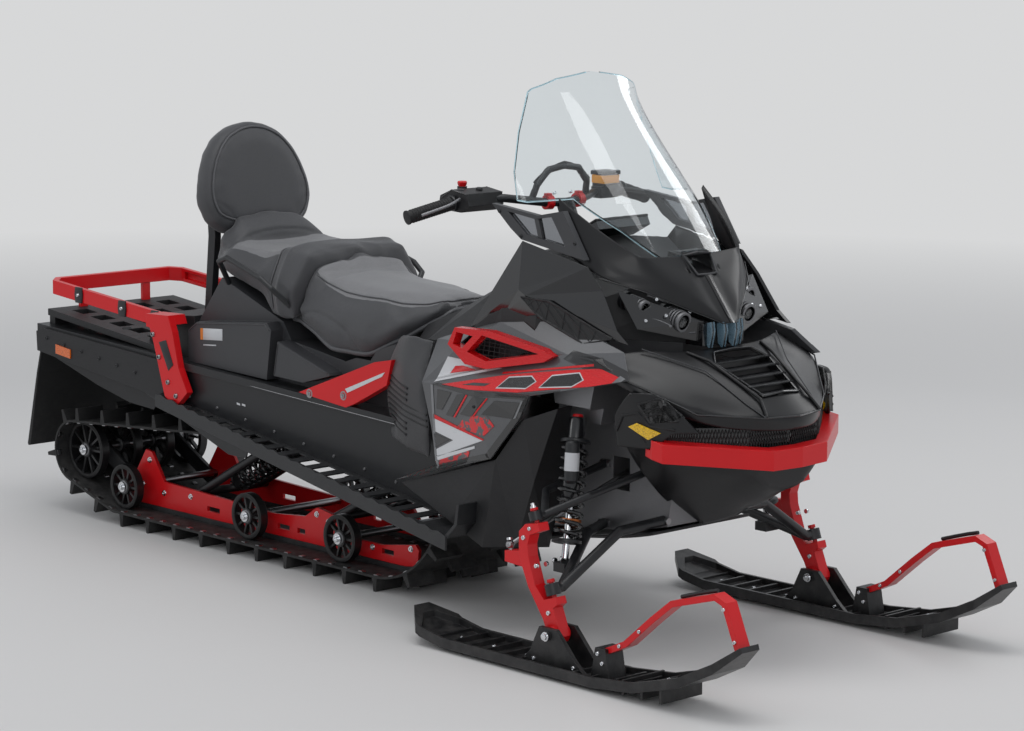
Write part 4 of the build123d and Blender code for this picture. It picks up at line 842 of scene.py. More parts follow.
def dressed(name, bm, finishes, panels, seams, piping):
    """Ends a cushion with its panels, seams and piping.

    Panels are (ring, finish index, test). Piping is (seam index, radius, how proud). Seams are (places, loop,
    spread, depth), and a depth below nought makes a ridge.
    """
    bm.normal_update()
    tree = BVHTree.FromBMesh(bm)
    runs = [on_skin(tree, line(points, loop)) for points, loop, _, _ in seams]
    for run, (_, _, spread, depth) in zip(runs, seams):
        for v, share in list(near_to(bm, run, spread * MM)):
            v.co -= v.normal * depth * MM * share * share
    for ring, index, test in panels:
        sides = closed(ring)
        for (a, b), (c, d) in sides:
            bmesh.ops.bisect_plane(bm, geom=bm.verts[:] + bm.edges[:] + bm.faces[:], dist=1e-5,
                                   plane_co=at(a, b, 0), plane_no=Vector((d - b, a - c, 0)).normalized())
        for face in bm.faces:
            spot = face.calc_center_median()
            if test(face) and all((c - a) * (spot.y / MM - b) - (d - b) * (spot.x / MM - a) > 0
                                  for (a, b), (c, d) in sides):
                face.material_index = index
    for face in bm.faces:
        face.smooth = True
    obj = link(name, bm)
    for finish in finishes:
        obj.data.materials.append(finish)
    smooth = obj.modifiers.new("smooth", "SUBSURF")
    smooth.levels = smooth.render_levels = 1
    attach(obj, "chassis")
    trim = Piece(name + "_piping")
    for which, radius, proud in piping:
        spots = runs[which][::3]
        mesh = route(on_skin(tree, spots, proud * MM), radius * MM, True, seams[which][1])
        run = bmesh.new()
        run.from_mesh(mesh)
        bpy.data.meshes.remove(mesh)
        trim.join(run, piping_vinyl())
    trim.done(angle=60.0)


SEAT_PLANE = 0.78  # height above which a face can belong to a top panel or the rear roll
REAR_ROLL, ROLL_FRONT = 0.034, -282  # rise behind the driver in metres, and the x where it starts
DRIVER_TOP = [(-322, 160), (-190, 170), (-45, 158), (50, 132), (104, 92), (132, 40)]
DRIVER_TOP_Z = (836, 816, 810, 803, 808, 812)
DRIVER_HEM = [(-420, 178, 700), (-330, 214, 694), (-190, 226, 646), (-100, 222, 642), (-30, 206, 650),
              (24, 176, 688), (70, 136, 722), (112, 92, 758), (134, 40, 780)]
DRIVER_SIDE = [(-325, 238, 720), (-300, 240, 745), (-262, 240, 757), (-215, 241, 748), (-150, 238, 722),
               (-105, 230, 690), (-80, 222, 655)]


class SLED_OT_seats(bpy.types.Operator):
    """Padded driver's and passenger's seats and backrest, with seams, piping and hems"""
    bl_idname = "sled.seats"
    bl_label = "Seats"

    def execute(self, context):
        bm = swollen("driver_cushion", surface("driver_seat"), smooth=7)
        for v in bm.verts:
            x, y, z = v.co / MM
            if z > SEAT_PLANE / MM and x < ROLL_FRONT:
                v.co.z += REAR_ROLL * min(1.0, (ROLL_FRONT - x) / 44.0) * max(0.0, 1 - (abs(y) / 200) ** 4)
        top = [(x, y, z) for (x, y), z in zip(DRIVER_TOP, DRIVER_TOP_Z)]
        ring = mirror_line(top)
        plan = anticlockwise([(x, y) for x, y, _ in ring])
        hem = mirror_line(DRIVER_HEM)
        rear = [(-322, 160, 838), (-300, 80, 846), (-296, 0, 848), (-300, -80, 846), (-322, -160, 838)]
        roll = [(-336, 206, 800), (-338, 160, 856), (-340, 90, 880), (-340, 0, 884)]
        seams = [(ring, False, 8, 2.5), (rear, False, 10, 4.0), (hem, False, 8, 1.5),
                 (DRIVER_SIDE, False, 10, 4.5), (far_side(DRIVER_SIDE), False, 10, 4.5),
                 (mirror_line(roll), False, 36, -7.0)]
        # Finish 1 is the top panel, made lighter as painted light from above.
        dressed("driver_cushion", bm, [seat_side(), seat_lit_top()],
                [(plan, 1, lambda f: f.normal.z > 0.25 and f.calc_center_median().z > SEAT_PLANE)], seams,
                [(0, 2.4, 0.4), (2, 7.5, 0.5)])
        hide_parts("driver_seat")

        bm = swollen("passenger_cushion", surface("passenger_seat"), smooth=7)
        arch = [(-446, 236, 735), (-448, 240, 800), (-452, 214, 866), (-458, 176, 898), (-462, 90, 906),
                (-462, 0, 908)]
        front = [(-352, 236, 740), (-350, 240, 800), (-350, 190, 888), (-350, 90, 908), (-350, 0, 912)]
        side = [(-740, 190, 872), (-690, 222, 868), (-600, 232, 850), (-520, 236, 836), (-470, 240, 800),
                (-446, 238, 760)]
        lumbar = [(-690, 182, 888), (-676, 120, 918), (-672, 60, 930), (-672, 0, 934)]
        crown = [(-400, 236, 730), (-402, 244, 800), (-404, 208, 872), (-408, 176, 900), (-410, 90, 910),
                 (-410, 0, 912)]
        seams = [(mirror_line(arch), False, 12, 6.0), (mirror_line(front), False, 6, 1.5),
                 (side, False, 9, 3.5),
                 (far_side(side), False, 9, 3.5), (mirror_line(lumbar), False, 10, 4.0),
                 (mirror_line(crown), False, 46, -11.0)]
        middle = [(-676, -186), (-462, -186), (-462, 186), (-676, 186)]
        # Finish 1 is the middle top panel, made lighter as painted light from above.
        dressed("passenger_cushion", bm, [seat_side(), seat_lit_top()],
                [(middle, 1, lambda f: f.normal.z > 0.0 and f.calc_center_median().z > SEAT_PLANE)], seams,
                [(0, 2.4, -1.0)])
        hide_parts("passenger_seat")

        bm = swollen("backrest_cushion", surface("backrest"), smooth=16)
        lean = Matrix.Translation(at(-817, 0, 1070)) @ Matrix.Rotation(radians(-12.0), 4, "Y")

        def pad(x, outline, grow=1.0):
            return [tuple((lean @ at(x, y * grow, (z - 1070) * grow)) / MM) for y, z in outline]
        egg = [(0, 925), (118, 922), (160, 952), (181, 1003), (179, 1052), (162, 1104), (138, 1150),
               (102, 1190), (52, 1216), (0, 1224)]
        ring, back = pad(46, egg), pad(-40, egg, 1.03)
        notch = pad(46, ((181, 1010), (140, 985), (112, 948), (104, 922)))
        seams = [(mirror_line(ring)[:-1], True, 9, 3.5), (mirror_line(back)[:-1], True, 7, 2.0),
                 (notch, False, 8, 3.5), (far_side(notch), False, 7, 2.5)]
        dressed("backrest_cushion", bm, [seat_side()], [], seams, [(0, 3.2, 0.6)])
        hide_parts("backrest")
        return {"FINISHED"}


class SLED_OT_knee_pads(bpy.types.Operator):
    """Soft knee pads with moulded ribs"""
    bl_idname = "sled.knee_pads"
    bl_label = "Knee pads"

    def execute(self, context):
        bm = swollen("knee_cushions", surface("knee_pads"), voxel=0.006, smooth=10, shrink=0.001, cap=0.004,
                     pressure=2.0)
        bm.normal_update()
        tree = BVHTree.FromBMesh(bm)
        ribs = Piece("knee_ribs")
        for i in range(11):
            z0 = 608 - i * 15.5
            run = [(108 + i * 0.5, 0, z0 + 12), (170, 0, z0 + 4), (240, 0, z0 - 6),
                   (332 + i * 2.2, 0, z0 - 16)]
            spots = []
            for x, _, z in run:
                hit = tree.ray_cast(at(x, -600, z), Vector((0, 1, 0)))
                if hit[0] is not None:
                    spots.append(tuple((hit[0] + hit[1] * 0.0005) / MM))
            if len(spots) > 2:
                ribs.tube(spots, 3.4, ribs_and_shade_backing(), both=True)
        ribs.done(angle=60.0)
        for face in bm.faces:
            face.smooth = True
        obj = link("knee_cushions", bm)
        obj.data.materials.append(knee_vinyl())
        smooth = obj.modifiers.new("smooth", "SUBSURF")
        smooth.levels = smooth.render_levels = 1
        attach(obj, "chassis")
        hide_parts("knee_pads")
        return {"FINISHED"}


# ------------------------------------------------------------------ body
STRIPES = (  # finish, lift in mm, convex rings on the side panel as (x, z)
    ("black", 0.3, ((840, 752), (1058, 713), (1130, 700), (1130, 740), (978, 768), (865, 776))),
    ("black", 0.3, ((371, 634), (546, 626), (545, 640), (399, 641))),
    ("black", 0.3, ((546, 626), (732, 642), (732, 656), (545, 640))),
    ("black", 0.3, ((732, 642), (876, 657), (876, 681), (732, 656))),
    ("black", 0.3, ((876, 657), (1110, 700), (1110, 726), (1052, 714), (876, 683))),
    ("black", 0.3, ((216, 336), (636, 460), (612, 486), (244, 378))),
    ("black", 0.3, ((632, 458), (746, 584), (720, 602), (604, 480))),
    ("black", 0.3, ((744, 580), (800, 655), (768, 662), (718, 598))),
    ("red", 0.6, ((416, 639), (539, 641), (725, 657), (725, 704), (651, 691))),
    ("red", 0.6, ((725, 657), (870, 684), (870, 729), (725, 704))),
    ("red", 0.6, ((870, 684), (1052, 714), (1072, 731), (982, 745), (870, 729))),
    ("red", 0.5, ((627, 689), (785, 718), (785, 723), (627, 694))),
    ("red", 0.5, ((785, 718), (977, 751), (977, 757), (785, 723))),
    ("speckle", 0.6, ((225, 363), (367, 392), (522, 446), (540, 483), (347, 419))),
    ("speckle", 0.6, ((486, 536), (600, 528), (640, 560), (610, 584), (520, 570))),
    ("white", 0.7, ((379, 640), (615, 701), (409, 709))),
    ("white", 0.7, ((380, 511), (466, 498), (595, 516), (380, 545))),
    ("white", 0.7, ((384, 460), (396, 444), (595, 516), (466, 498))),
    ("white", 0.7, ((248, 392), (347, 417), (560, 490), (560, 497), (347, 431))),
    ("white", 0.9, ((636, 656), (748, 668), (779, 690), (750, 701), (660, 687))),
    ("white", 0.9, ((796, 677), (910, 692), (943, 713), (918, 729), (826, 712))),
    ("grey", 0.9, ((1036, 712), (1058, 716), (1082, 732), (1060, 737))),
    ("red", 1.0, ((428, 668), (520, 686), (470, 692), (442, 688))),
    ("red", 0.9, ((380, 545), (595, 516), (602, 520), (380, 556))),
    ("black", 0.9, ((381, 505), (385, 466), (452, 497))),
    ("black", 1.2, ((641, 659), (748, 671), (774, 690), (749, 698), (662, 684))),
    ("black", 1.2, ((801, 680), (909, 695), (938, 713), (917, 726), (828, 709))),
    ("black", 1.0, ((500, 648), (590, 656), (606, 664), (540, 658))),
    ("black", 0.9, ((394, 572), (420, 572), (462, 624), (400, 624))),
    ("black", 0.9, ((438, 562), (466, 560), (522, 626), (486, 622))),
    ("black", 0.9, ((498, 572), (548, 572), (606, 628), (556, 626))),
    ("black", 0.9, ((590, 584), (708, 588), (740, 634), (640, 626))),
    ("red", 1.2, ((470, 560), (478, 560), (534, 627), (526, 627))),
    ("red", 1.2, ((552, 574), (560, 574), (616, 629), (610, 629))),
    ("grey", 1.2, ((712, 588), (722, 592), (752, 640), (744, 638))),
    ("edge", 0.9, ((369, 634), (380, 634), (393, 440), (383, 440))),
    ("edge", 0.9, ((383, 441), (393, 441), (407, 414), (397, 414))),
)


FILMS = {"black": gloss_black, "red": red_plastic, "white": white_film, "speckle": speckled_red,
         "grey": pale_film,
         "edge": pale_film}


class SLED_OT_stripes(bpy.types.Operator):
    """Thin coloured films on the side panels, braces and footwells"""
    bl_idname = "sled.stripes"
    bl_label = "Stripes"

    def execute(self, context):
        panel = surface("side_panels", outer)
        films = Piece("panel_stripes")
        for key, lift, ring in STRIPES:
            films.film(panel, ring, FILMS[key](), lift)
        films.done()
        panel.free()
        brace = surface("seat_braces", outer)
        marks = Piece("brace_stripes")
        marks.film(brace, [(-62, 560), (-52, 550), (92, 612), (104, 626)], white_film(), 0.4)
        brace.free()
        toe = surface("lower_panels", outer)
        marks.film(toe, [(338, 290), (424, 248), (436, 258), (348, 302)], steel(), 0.6)
        toe.free()
        tunnel = surface("tunnel", outer)
        for x in (-560, -536):
            marks.film(tunnel, [(x, 452), (x + 16, 450), (x + 16, 456), (x, 458)], white_film(), 0.4)
        tunnel.free()
        marks.done()
        return {"FINISHED"}


SHELLS = (  # node, angles in degrees between which an edge turns from soft to sharp, finish
    ("beak", 34.0, 62.0, body_black), ("hood", 26.0, 55.0, body_black),
    ("nose_sides", 34.0, 62.0, body_black), ("belly_pan", 30.0, 62.0, body_black),
)


def softened(node, soft, sharp, finish):
    """Stands for a node: its flat faces flow into one another, and only its strong edges stay creased."""
    bm = surface(node)
    bmesh.ops.dissolve_limit(bm, angle_limit=radians(1.0), verts=bm.verts, edges=bm.edges)
    bmesh.ops.remove_doubles(bm, verts=bm.verts, dist=0.0012)
    crease = bm.edges.layers.float.new("crease_edge")
    for edge in bm.edges:
        turn = edge.calc_face_angle(pi) if len(edge.link_faces) == 2 else pi
        edge[crease] = max(0.0, min(1.0, (turn - radians(soft)) / radians(sharp - soft)))
    for face in bm.faces:
        face.smooth = True
    obj = link(node + "_shell", bm)
    obj.data.materials.append(finish)
    flow = obj.modifiers.new("flow", "SUBSURF")
    flow.levels = flow.render_levels = 3
    mesh = baked(obj)
    obj.modifiers.clear()
    obj.data = mesh
    mesh.set_sharp_from_angle(angle=radians(40.0))
    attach(obj, "chassis")
    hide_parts(node)


class SLED_OT_shells(bpy.types.Operator):
    """Flowing beak, hood, nose sides and belly pan in place of their flat faces"""
    bl_idname = "sled.shells"
    bl_label = "Body shells"

    def execute(self, context):
        for node, soft, sharp, finish in SHELLS:
            softened(node, soft, sharp, finish())
        return {"FINISHED"}


MESH_STEPS, LATTICE_STEPS = 46, 8


class SLED_OT_hood(bpy.types.Operator):
    """Hood and cheek trim, fine bumper edges, intake mesh, beak spine, side lattice and vents"""
    bl_idname = "sled.hood"
    bl_label = "Hood trim"

    def execute(self, context):
        trim = Piece("hood_trim")
        trim.tube([(1108, 0, 777), (1110, 70, 774), (1143, 99, 752), (1276, 62, 682), (1281, 0, 688)], 3.0,
                  gloss_black(), False, both=True)
        trim.tube([(1082, 138, 777), (1141, 118, 760), (1284, 86, 679), (1320, 99, 637)], 4.2, body_black(),
                  False, both=True)
        trim.tube([(1034, 250, 791), (1160, 152, 741), (1270, 120, 667), (1318, 102, 638)], 1.6,
                  grey_plastic(), False, both=True)
        trim.tube([(1339, 0, 634), (1318, 100, 636), (1214, 236, 646), (1086, 344, 723), (964, 343, 766)],
                  2.2, gloss_black(), False, both=True)
        # Dark plates under and beside the grille: painted shade standing in for the shaded space behind its
        # openings.
        trim.slab([(1112, -92, 744), (1112, 92, 744), (1142, 100, 722), (1276, 60, 654), (1276, -60, 654),
                   (1142, -100, 722)],
                  (0, 0, -3), ribs_and_shade_backing())
        trim.slab([(1088, -116, 750), (1141, -116, 732), (1215, -116, 690), (1270, -108, 644),
                   (1270, -108, 606), (1088, -116, 606)], (0, -3, 0), ribs_and_shade_backing(), both=True)
        trim.done()

        bm = bmesh.new()
        bm.from_mesh(bpy.data.objects["nose_sides_shell"].data)
        bm.normal_update()
        skin = BVHTree.FromBMesh(bm)
        scoop = [(1112, -340, 672), (1160, -318, 690), (1216, -262, 672), (1196, -288, 634),
                 (1140, -326, 628)]
        cheek = Piece("cheek_trim")
        cheek.film(bm, [(x, z) for x, _, z in scoop], gloss_black(), 0.6)
        for run, r, proud, finish in (
                (scoop + scoop[:1], 3.2, 0.5, body_black()),
                ([(1124, -336, 640), (1160, -318, 652), (1206, -274, 656)], 2.4, 0.5, body_black()),
                ([(1118, -338, 656), (1160, -318, 668), (1212, -266, 666)], 2.4, 0.5, body_black()),
                ([(1046, -345, 600), (1068, -350, 640), (1112, -342, 650), (1140, -328, 620),
                  (1190, -290, 612)], 4.0, 0.0,
                 body_black()),
                ([(1050, -345, 690), (1086, -346, 712), (1136, -318, 702), (1208, -240, 668)], 3.0, 0.0,
                 gloss_black())):
            cheek.tube([tuple(spot / MM) for spot in on_skin(skin, [at(*q) for q in run], proud * MM)], r,
                       finish, False, both=True)
        plate = on_skin(skin, [at(*q) for q in ((1084, -344, 614), (1110, -341, 626), (1168, -316, 605),
                                                (1140, -333, 586))],
                       0.003)
        cheek.slab([tuple(spot / MM) for spot in plate], (1.5, -4, 0), yellow_lens(), 1.0, both=True)
        cheek.done()
        bm.free()

        bar = frame["nodes"]["front_bumper"]
        bar.modifiers.new("weld", "WELD").merge_threshold = 1e-5
        chamfer = bar.modifiers.new("round", "BEVEL")
        chamfer.width, chamfer.segments = 0.013, 2  # short edges clamp this to about a millimetre
        chamfer.limit_method, chamfer.angle_limit = "ANGLE", radians(40)

        mesh = Piece("intake_mesh")
        path = [(1151, 304), (1208, 234), (1288, 130), (1309, 0)]
        for i in range(MESH_STEPS - 1):
            (xa, ya), (xb, yb) = along(path, i / MESH_STEPS), along(path, (i + 2) / MESH_STEPS)
            mesh.tube([(xa + 1, ya, 552), (xb + 1, yb, 608)], 1.1, grained_black(), False, both=True)
            mesh.tube([(xa + 1, ya, 608), (xb + 1, yb, 552)], 1.1, grained_black(), False, both=True)
        mesh.done()

        beak = Piece("beak_trim")
        beak.tube([(983, 0, 1010), (982, 50, 1005), (1019, 35, 958), (1021, 0, 957)], 3.4, grey_plastic(),
                  False, both=True)
        skin = surface("beak", lambda f: f.normal.x > 0.2 or f.normal.z > 0.3)
        beak.film(skin, [(1016, -11), (1016, 11), (1112, 7), (1112, -7)], gloss_black(), 0.5, both=False,
                  flat="plan")
        skin.free()
        beak.tube([(900, 272, 957), (985, 194, 925), (1045, 108, 881), (1104, 24, 841)], 1.8, gloss_black(),
                  False, both=True)
        beak.done()

        sides = Piece("side_trim")
        rim = [(705, 297, 889), (738, 297, 872), (1006, 301, 814), (880, 297, 800), (832, 295, 796)]
        sides.tube(rim, 2.6, gloss_black(), False, True, both=True)
        top = [(658, -306, 889), (762, -306, 888), (985, -306, 816)]
        low = [(658, -306, 889), (728, -306, 843), (888, -309, 794), (985, -306, 816)]
        # Dark plate behind the open lattice: painted shade standing in for the shaded space seen through it.
        sides.slab(top + low[2:0:-1], (0, 3, 0), ribs_and_shade_backing(), both=True)
        sides.tube(top + low[2:0:-1], 3.4, body_black(), False, True, both=True)
        for i in range(LATTICE_STEPS):
            here, there = i / LATTICE_STEPS, (i + 1) / LATTICE_STEPS
            for a, b in ((here, there), (there, here)):
                ends = [along(top, a), along(low, b)]
                if (Vector(ends[0]) - Vector(ends[1])).length > 6:
                    sides.tube(ends, 2.0, body_black(), False, both=True)
        for x, z in ((640, 612), (700, 640), (560, 600)):
            sides.bolt((x, -377, z), (0, -1, 0), 5.0, coat_black(), both=True)
        vent = [(494, 329, 734), (568, 329, 718), (762, 329, 757), (554, 329, 780)]
        for i in range(13):
            x = 496 + i * 20
            top = min(782, 734 + (x - 494) * 0.8) if x < 554 else 782 - (x - 554) * 0.12
            low = 734 - (x - 494) * 0.22 if x < 568 else 718 + (x - 568) * 0.2
            if top > low + 4:
                sides.tube([(x, 324, low), (x + 8, 324, top)], 1.0, grained_black(), False, both=True)
        for z in (728, 740, 752, 764, 776):
            sides.tube([(500, 325, z), (760, 325, min(z, 757))], 1.0, grained_black(), False, both=True)
        inner = [(x + (620 - x) * 0.02, y - 2, z + (752 - z) * 0.02) for x, y, z in vent]
        sides.tube(inner, 1.6, red_plastic(), False, True, both=True)
        sides.done()
        return {"FINISHED"}


class SLED_OT_lamps(bpy.types.Operator):
    """Projector lenses with cast rings, ribbed barrels, pipes and clear light guides"""
    bl_idname = "sled.lamps"
    bl_label = "Lamps"

    def execute(self, context):
        lamps = Piece("lamp_projectors")
        for x, y, z, r in ((1056, 122, 848, 25), (992, 196, 884, 19)):
            a, b = (x - 70, y, z + 14), (x, y, z)
            run = 71.4  # length of the barrel, from b to a
            lamps.turn(b, a, [(2, 0), (0, r * 0.35), (4, r * 0.62), (9, r - 6), (12, r - 6), (12, 0)][::-1],
                       lamp_clear(), 32, both=True)
            lamps.turn(b, a, [(-1, r - 5.5), (-1, r + 1), (7, r + 1), (7, r + 0.2), (2, r - 5.5)],
                       cast_metal(), 36, both=True, loop=True)
            lamps.turn(b, a, [(14, 0), (14, r - 6), (15, r - 6), (15, 0)], chrome(), 24, both=True)
            for k in range(5):
                d = 12 + k * 9
                lamps.turn(b, a, [(d, r - 1), (d, r + 2.6), (d + 4, r + 2.6), (d + 4, r - 1)], cast_metal(),
                           32, both=True, loop=True)
            lamps.turn(b, a, [(run - 8, 0), (run - 8, r + 5), (run + 4, r + 5), (run + 4, 0)], coat_black(),
                       24, both=True)
        for place in ((1030, 160, 866), (1004, 168, 905), (966, 226, 902), (1048, 92, 872), (1012, 214, 856)):
            lamps.bolt(place, (1, 0.7, 0.4), 5.0, chrome(), both=True)
        lamps.tube([(1040, 150, 838), (1018, 176, 858), (1000, 214, 862)], 4.5, cast_metal(), both=True)
        lamps.tube([(1030, 100, 884), (1006, 140, 900), (980, 176, 915)], 3.5, cast_metal(), both=True)
        lamps.tube([(1060, 84, 820), (1030, 150, 818), (1002, 214, 836)], 3.0, silver_panel(), both=True)
        lamps.done()

        guides = Piece("light_guides")
        for x, y in ((1106, 20), (1092, 52)):
            for side in (-8.2, 2.2):
                tip = [(x - 26, y + side, 840), (x - 3, y + side, 847), (x + 1, y + side, 822),
                       (x - 8, y + side, 780), (x - 20, y + side, 790)]
                guides.slab(tip, (0, 6.0, 0), light_guide(), 1.6, both=True)
        guides.done()
        return {"FINISHED"}


def sharp_runs(bm, test):
    """Chains of edges that pass a test, as lists of places."""
    left = {e for e in bm.edges if test(e)}
    chains = []
    while left:
        edge = min(left, key=lambda e: tuple(round(c, 5) for v in e.verts for c in v.co))
        left.remove(edge)
        chain = list(edge.verts)
        for end in (0, -1):
            while True:
                nexts = [e for e in chain[end].link_edges if e in left]
                if not nexts:
                    break
                left.remove(nexts[0])
                other = nexts[0].other_vert(chain[end])
                chain.insert(0, other) if end == 0 else chain.append(other)
        chains.append([v.co.copy() for v in chain])
    return chains


class SLED_OT_screen(bpy.types.Operator):
    """Bright edge round the windshield, smoked side panes and struts"""
    bl_idname = "sled.screen"
    bl_label = "Windshield trim"

    def execute(self, context):
        bm = surface("windshield")
        edge = Piece("screen_edge")

        def rim(e):
            if len(e.link_faces) != 2 or e.calc_face_angle(0.0) < radians(50):
                return False
            return any(f.normal.x > 0.35 or abs(f.normal.y) > 0.8
                       and f.normal.y * f.calc_center_median().y > 0 for f in e.link_faces)
        for run in sharp_runs(bm, rim):
            if len(run) > 4 and sum((b - a).length for a, b in zip(run, run[1:])) > 0.1:
                spots = [tuple(Vector((p.x - 0.002, p.y * 0.994, min(p.z, 1.4476))) / MM) for p in run]
                edge.tube(spots, 2.2, screen_rim(), False)
        bm.free()
        edge.done(angle=50.0)

        panes = Piece("side_panes")
        panes.slab([(590, 278, 1102), (690, 278, 1090), (750, 278, 1100), (800, 278, 1030), (660, 278, 1048)],
                   (0, 3, 0), dark_pane(), both=True)
        panes.slab([(684, 273, 1094), (700, 273, 1094), (716, 273, 1040), (700, 273, 1042)], (0, 15, 0),
                   grey_plastic(), 1.5, both=True)
        for x, z in ((560, 1100), (835, 1040), (640, 1042)):
            panes.bolt((x, 290, z), (0, 1, 0), 5.0, coat_black(), both=True)
        panes.done()
        return {"FINISHED"}


# ------------------------------------------------------------------ running gear
SHOCK_TOP, SHOCK_FOOT = (854, 292, 600), (905, 385, 247)
SIDES, SKI_Y = (("left", 1), ("right", -1)), 490
SKID_SHOCKS = (((-60, 0, 318), (-300, 0, 152)), ((-560, 0, 300), (-930, 0, 130)))


def shock(piece, top, foot, r, body, both):
    """Damper with its rod, spring plates and coil spring."""
    run = (Vector(foot) - Vector(top)).length
    piece.turn(top, foot, [(0, 0), (0, body * 0.9), (8, body), (run * 0.55, body), (run * 0.57, body * 0.86),
                           (run * 0.57, 0)], shock_body(), 28, both)
    piece.turn(top, foot, [(run * 0.5, 0), (run * 0.5, body * 0.42), (run * 0.97, body * 0.42),
                           (run * 0.97, 0)], chrome(), 20,
               both)
    for share in (0.16, 0.85):
        piece.turn(top, foot, [(run * share - 5, 0), (run * share - 5, r * 0.8), (run * share - 3, r + 2),
                               (run * share + 5, r + 2), (run * share + 7, r * 0.8), (run * share + 7,
                                                                                      0)], coat_black(), 32,
                                                                                      both)
    piece.coil(between(top, foot, 0.19), between(top, foot, 0.83), r - 4, sizes().wire / MM, sizes().coils,
               spring_black(), both)


class SLED_OT_springs(bpy.types.Operator):
    """Dampers with coil springs and reservoirs, arm and spindle bolts, tie-rod ends"""
    bl_idname = "sled.springs"
    bl_label = "Springs"

    def execute(self, context):
        gear = Piece("dampers")
        shock(gear, SHOCK_TOP, SHOCK_FOOT, 36, 22, True)
        top, foot = Vector(SHOCK_TOP), Vector(SHOCK_FOOT)
        run = (foot - top).length
        gear.turn(top, foot, [(run * 0.70, 24), (run * 0.70, 33), (run * 0.73, 33), (run * 0.73, 24)],
                  copper_ring(), 32, True, loop=True)
        gear.turn(top, foot, [(-8, 0), (-8, 13), (4, 15), (12, 13), (12, 0)], red_metal(), 24, True)
        tank = between(SHOCK_TOP, SHOCK_FOOT, 0.3)
        a, b = (tank[0] + 28, tank[1] + 32, tank[2] + 60), (tank[0] + 34, tank[1] + 44, tank[2] - 50)
        gear.turn(a, b, [(0, 0), (0, 14), (6, 18), (100, 18), (108, 12), (108, 0)], coat_black(), 28, True)
        gear.turn(a, b, [(30, 18.2), (30, 18.8), (76, 18.8), (76, 18.2)], bare_label(), 28, True, loop=True)
        for p, q in SKID_SHOCKS:
            shock(gear, p, q, 34, 20, False)
        gear.done(replaces=("shock_absorbers",))
        pins = Piece("arm_bolts")
        for x, z in ((1002, 335), (790, 296), (980, 470), (795, 455)):
            pins.turn((x - 18, 128, z), (x + 18, 128, z), [(0, 0), (0, 9), (6, 10), (30, 10), (36, 9),
                                                           (36, 0)], steel(), 16,
                      True)
        for x, y, z in ((905, 372, 252), (905, 398, 252)):
            pins.bolt((x - 22, y, z), (-1, 0, 0), 7.0, chrome(), both=True)
        pins.done()
        for side, sign in SIDES:
            bits = Piece("spindle_bolts_" + side)
            y = SKI_Y * sign
            low, high = Vector((971, y, 207)), Vector((916, y, 360))
            bits.turn(low.lerp(high, 1.27), low.lerp(high, 1.6), [(0, 0), (0, 9), (5, 9), (5, 6), (12, 6),
                                                                  (13, 5), (13, 0)],
                      chrome(), 12)
            bits.turn(low.lerp(high, -0.16), low.lerp(high, -0.4), [(0, 0), (0, 9), (6, 9), (6, 5), (12, 5),
                                                                    (12, 0)],
                      chrome(), 12)
            for x, z, r in ((930, 262, 6.5), (884, 326, 7.0), (975, 150, 7.0), (905, 352, 6.0)):
                for face in (-1, 1):
                    bits.bolt((x, y + 17 * face, z), (0, face, 0), r, chrome())
            bits.done("spindle_" + side + "_body")
            rod = Piece("rod_end_" + side)
            rod.turn((818, y, 300), (826, y, 268), [(-14, 0), (-14, 8), (-8, 9), (-8, 0)], chrome(), 12)
            rod.turn((836.4, y - 36 * sign, 304.4), (836.4, y - 64 * sign, 315.4),
                     [(0, 9), (0, 13), (24, 11), (24, 7)], red_metal(), 20, loop=True)
            rod.done("tie_rod_" + side + "_body")
        return {"FINISHED"}


class SLED_OT_skis(bpy.types.Operator):
    """Ski bolts, wear bars and ribs, loop screws and pads"""
    bl_idname = "sled.skis"
    bl_label = "Ski fittings"

    def execute(self, context):
        for side, sign in SIDES:
            y = SKI_Y * sign
            fit = Piece("ski_fittings_" + side)
            for face in (-1, 1):
                fit.turn((992, y + 46 * face, 98), (992, y + 60 * face, 98),
                         [(-1, 0), (-1, 12), (1, 12), (1, 9), (7, 9), (8, 7), (8, 0)], chrome(), 18)
                for x, z in ((1160, 84), (1176, 62)):
                    fit.bolt((x, y + 30 * face, z), (0, face, 0), 6.0, chrome())
                for x, z in ((945, 34), (1084, 34)):
                    fit.bolt((x, y + 38 * face, z), (0, face, 0), 6.0, chrome())
            fit.tube([(700, y, 3.2), (1190, y, 3.2)], 3.0, steel(), False)
            for i in range(9):
                x = 1240 + i * 26
                z = 24 + max(0, x - 1320) * 0.28 + 12
                fit.slab([(x, y - 52, z), (x + 8, y - 52, z + 1), (x + 8, y + 52, z + 1), (x, y + 52, z)],
                         (0, 0, 5), ski_black(), 1.2)
            for x in (640, 760, 880, 1130, 1250, 1370):
                fit.bolt((x, y, 22 if x < 1300 else 54), (0, 0, 1), 6.0, chrome())
            fit.done("ski_" + side + "_body")
            loop = Piece("loop_screws_" + side)
            for x, z in ((1222, 112), (1288, 160), (1560, 262), (1596, 190)):
                for face in (-1, 1):
                    loop.bolt((x, y + 19 * face, z), (0, face, 0), 5.5, chrome())
            grip = [(1408, y, 264), (1448, y, 277), (1490, y, 290), (1524, y, 299)]
            loop.tube(grip, 5.0, grained_black(), False)
            loop.done("ski_" + side + "_body")
        return {"FINISHED"}


BELT = ((-1389.0, 199.0, 96.5), (-1180.0, 116.0, 78.0), (20.0, 318.0, 280.0),
        (235.0, 322.0, 95.0))  # x, z, radius


ROAD_X, ROAD_Z, REAR_WHEEL = (-1180, -586, -171), 113.5, (-1389, 199)
BELT_CLIPS = 61


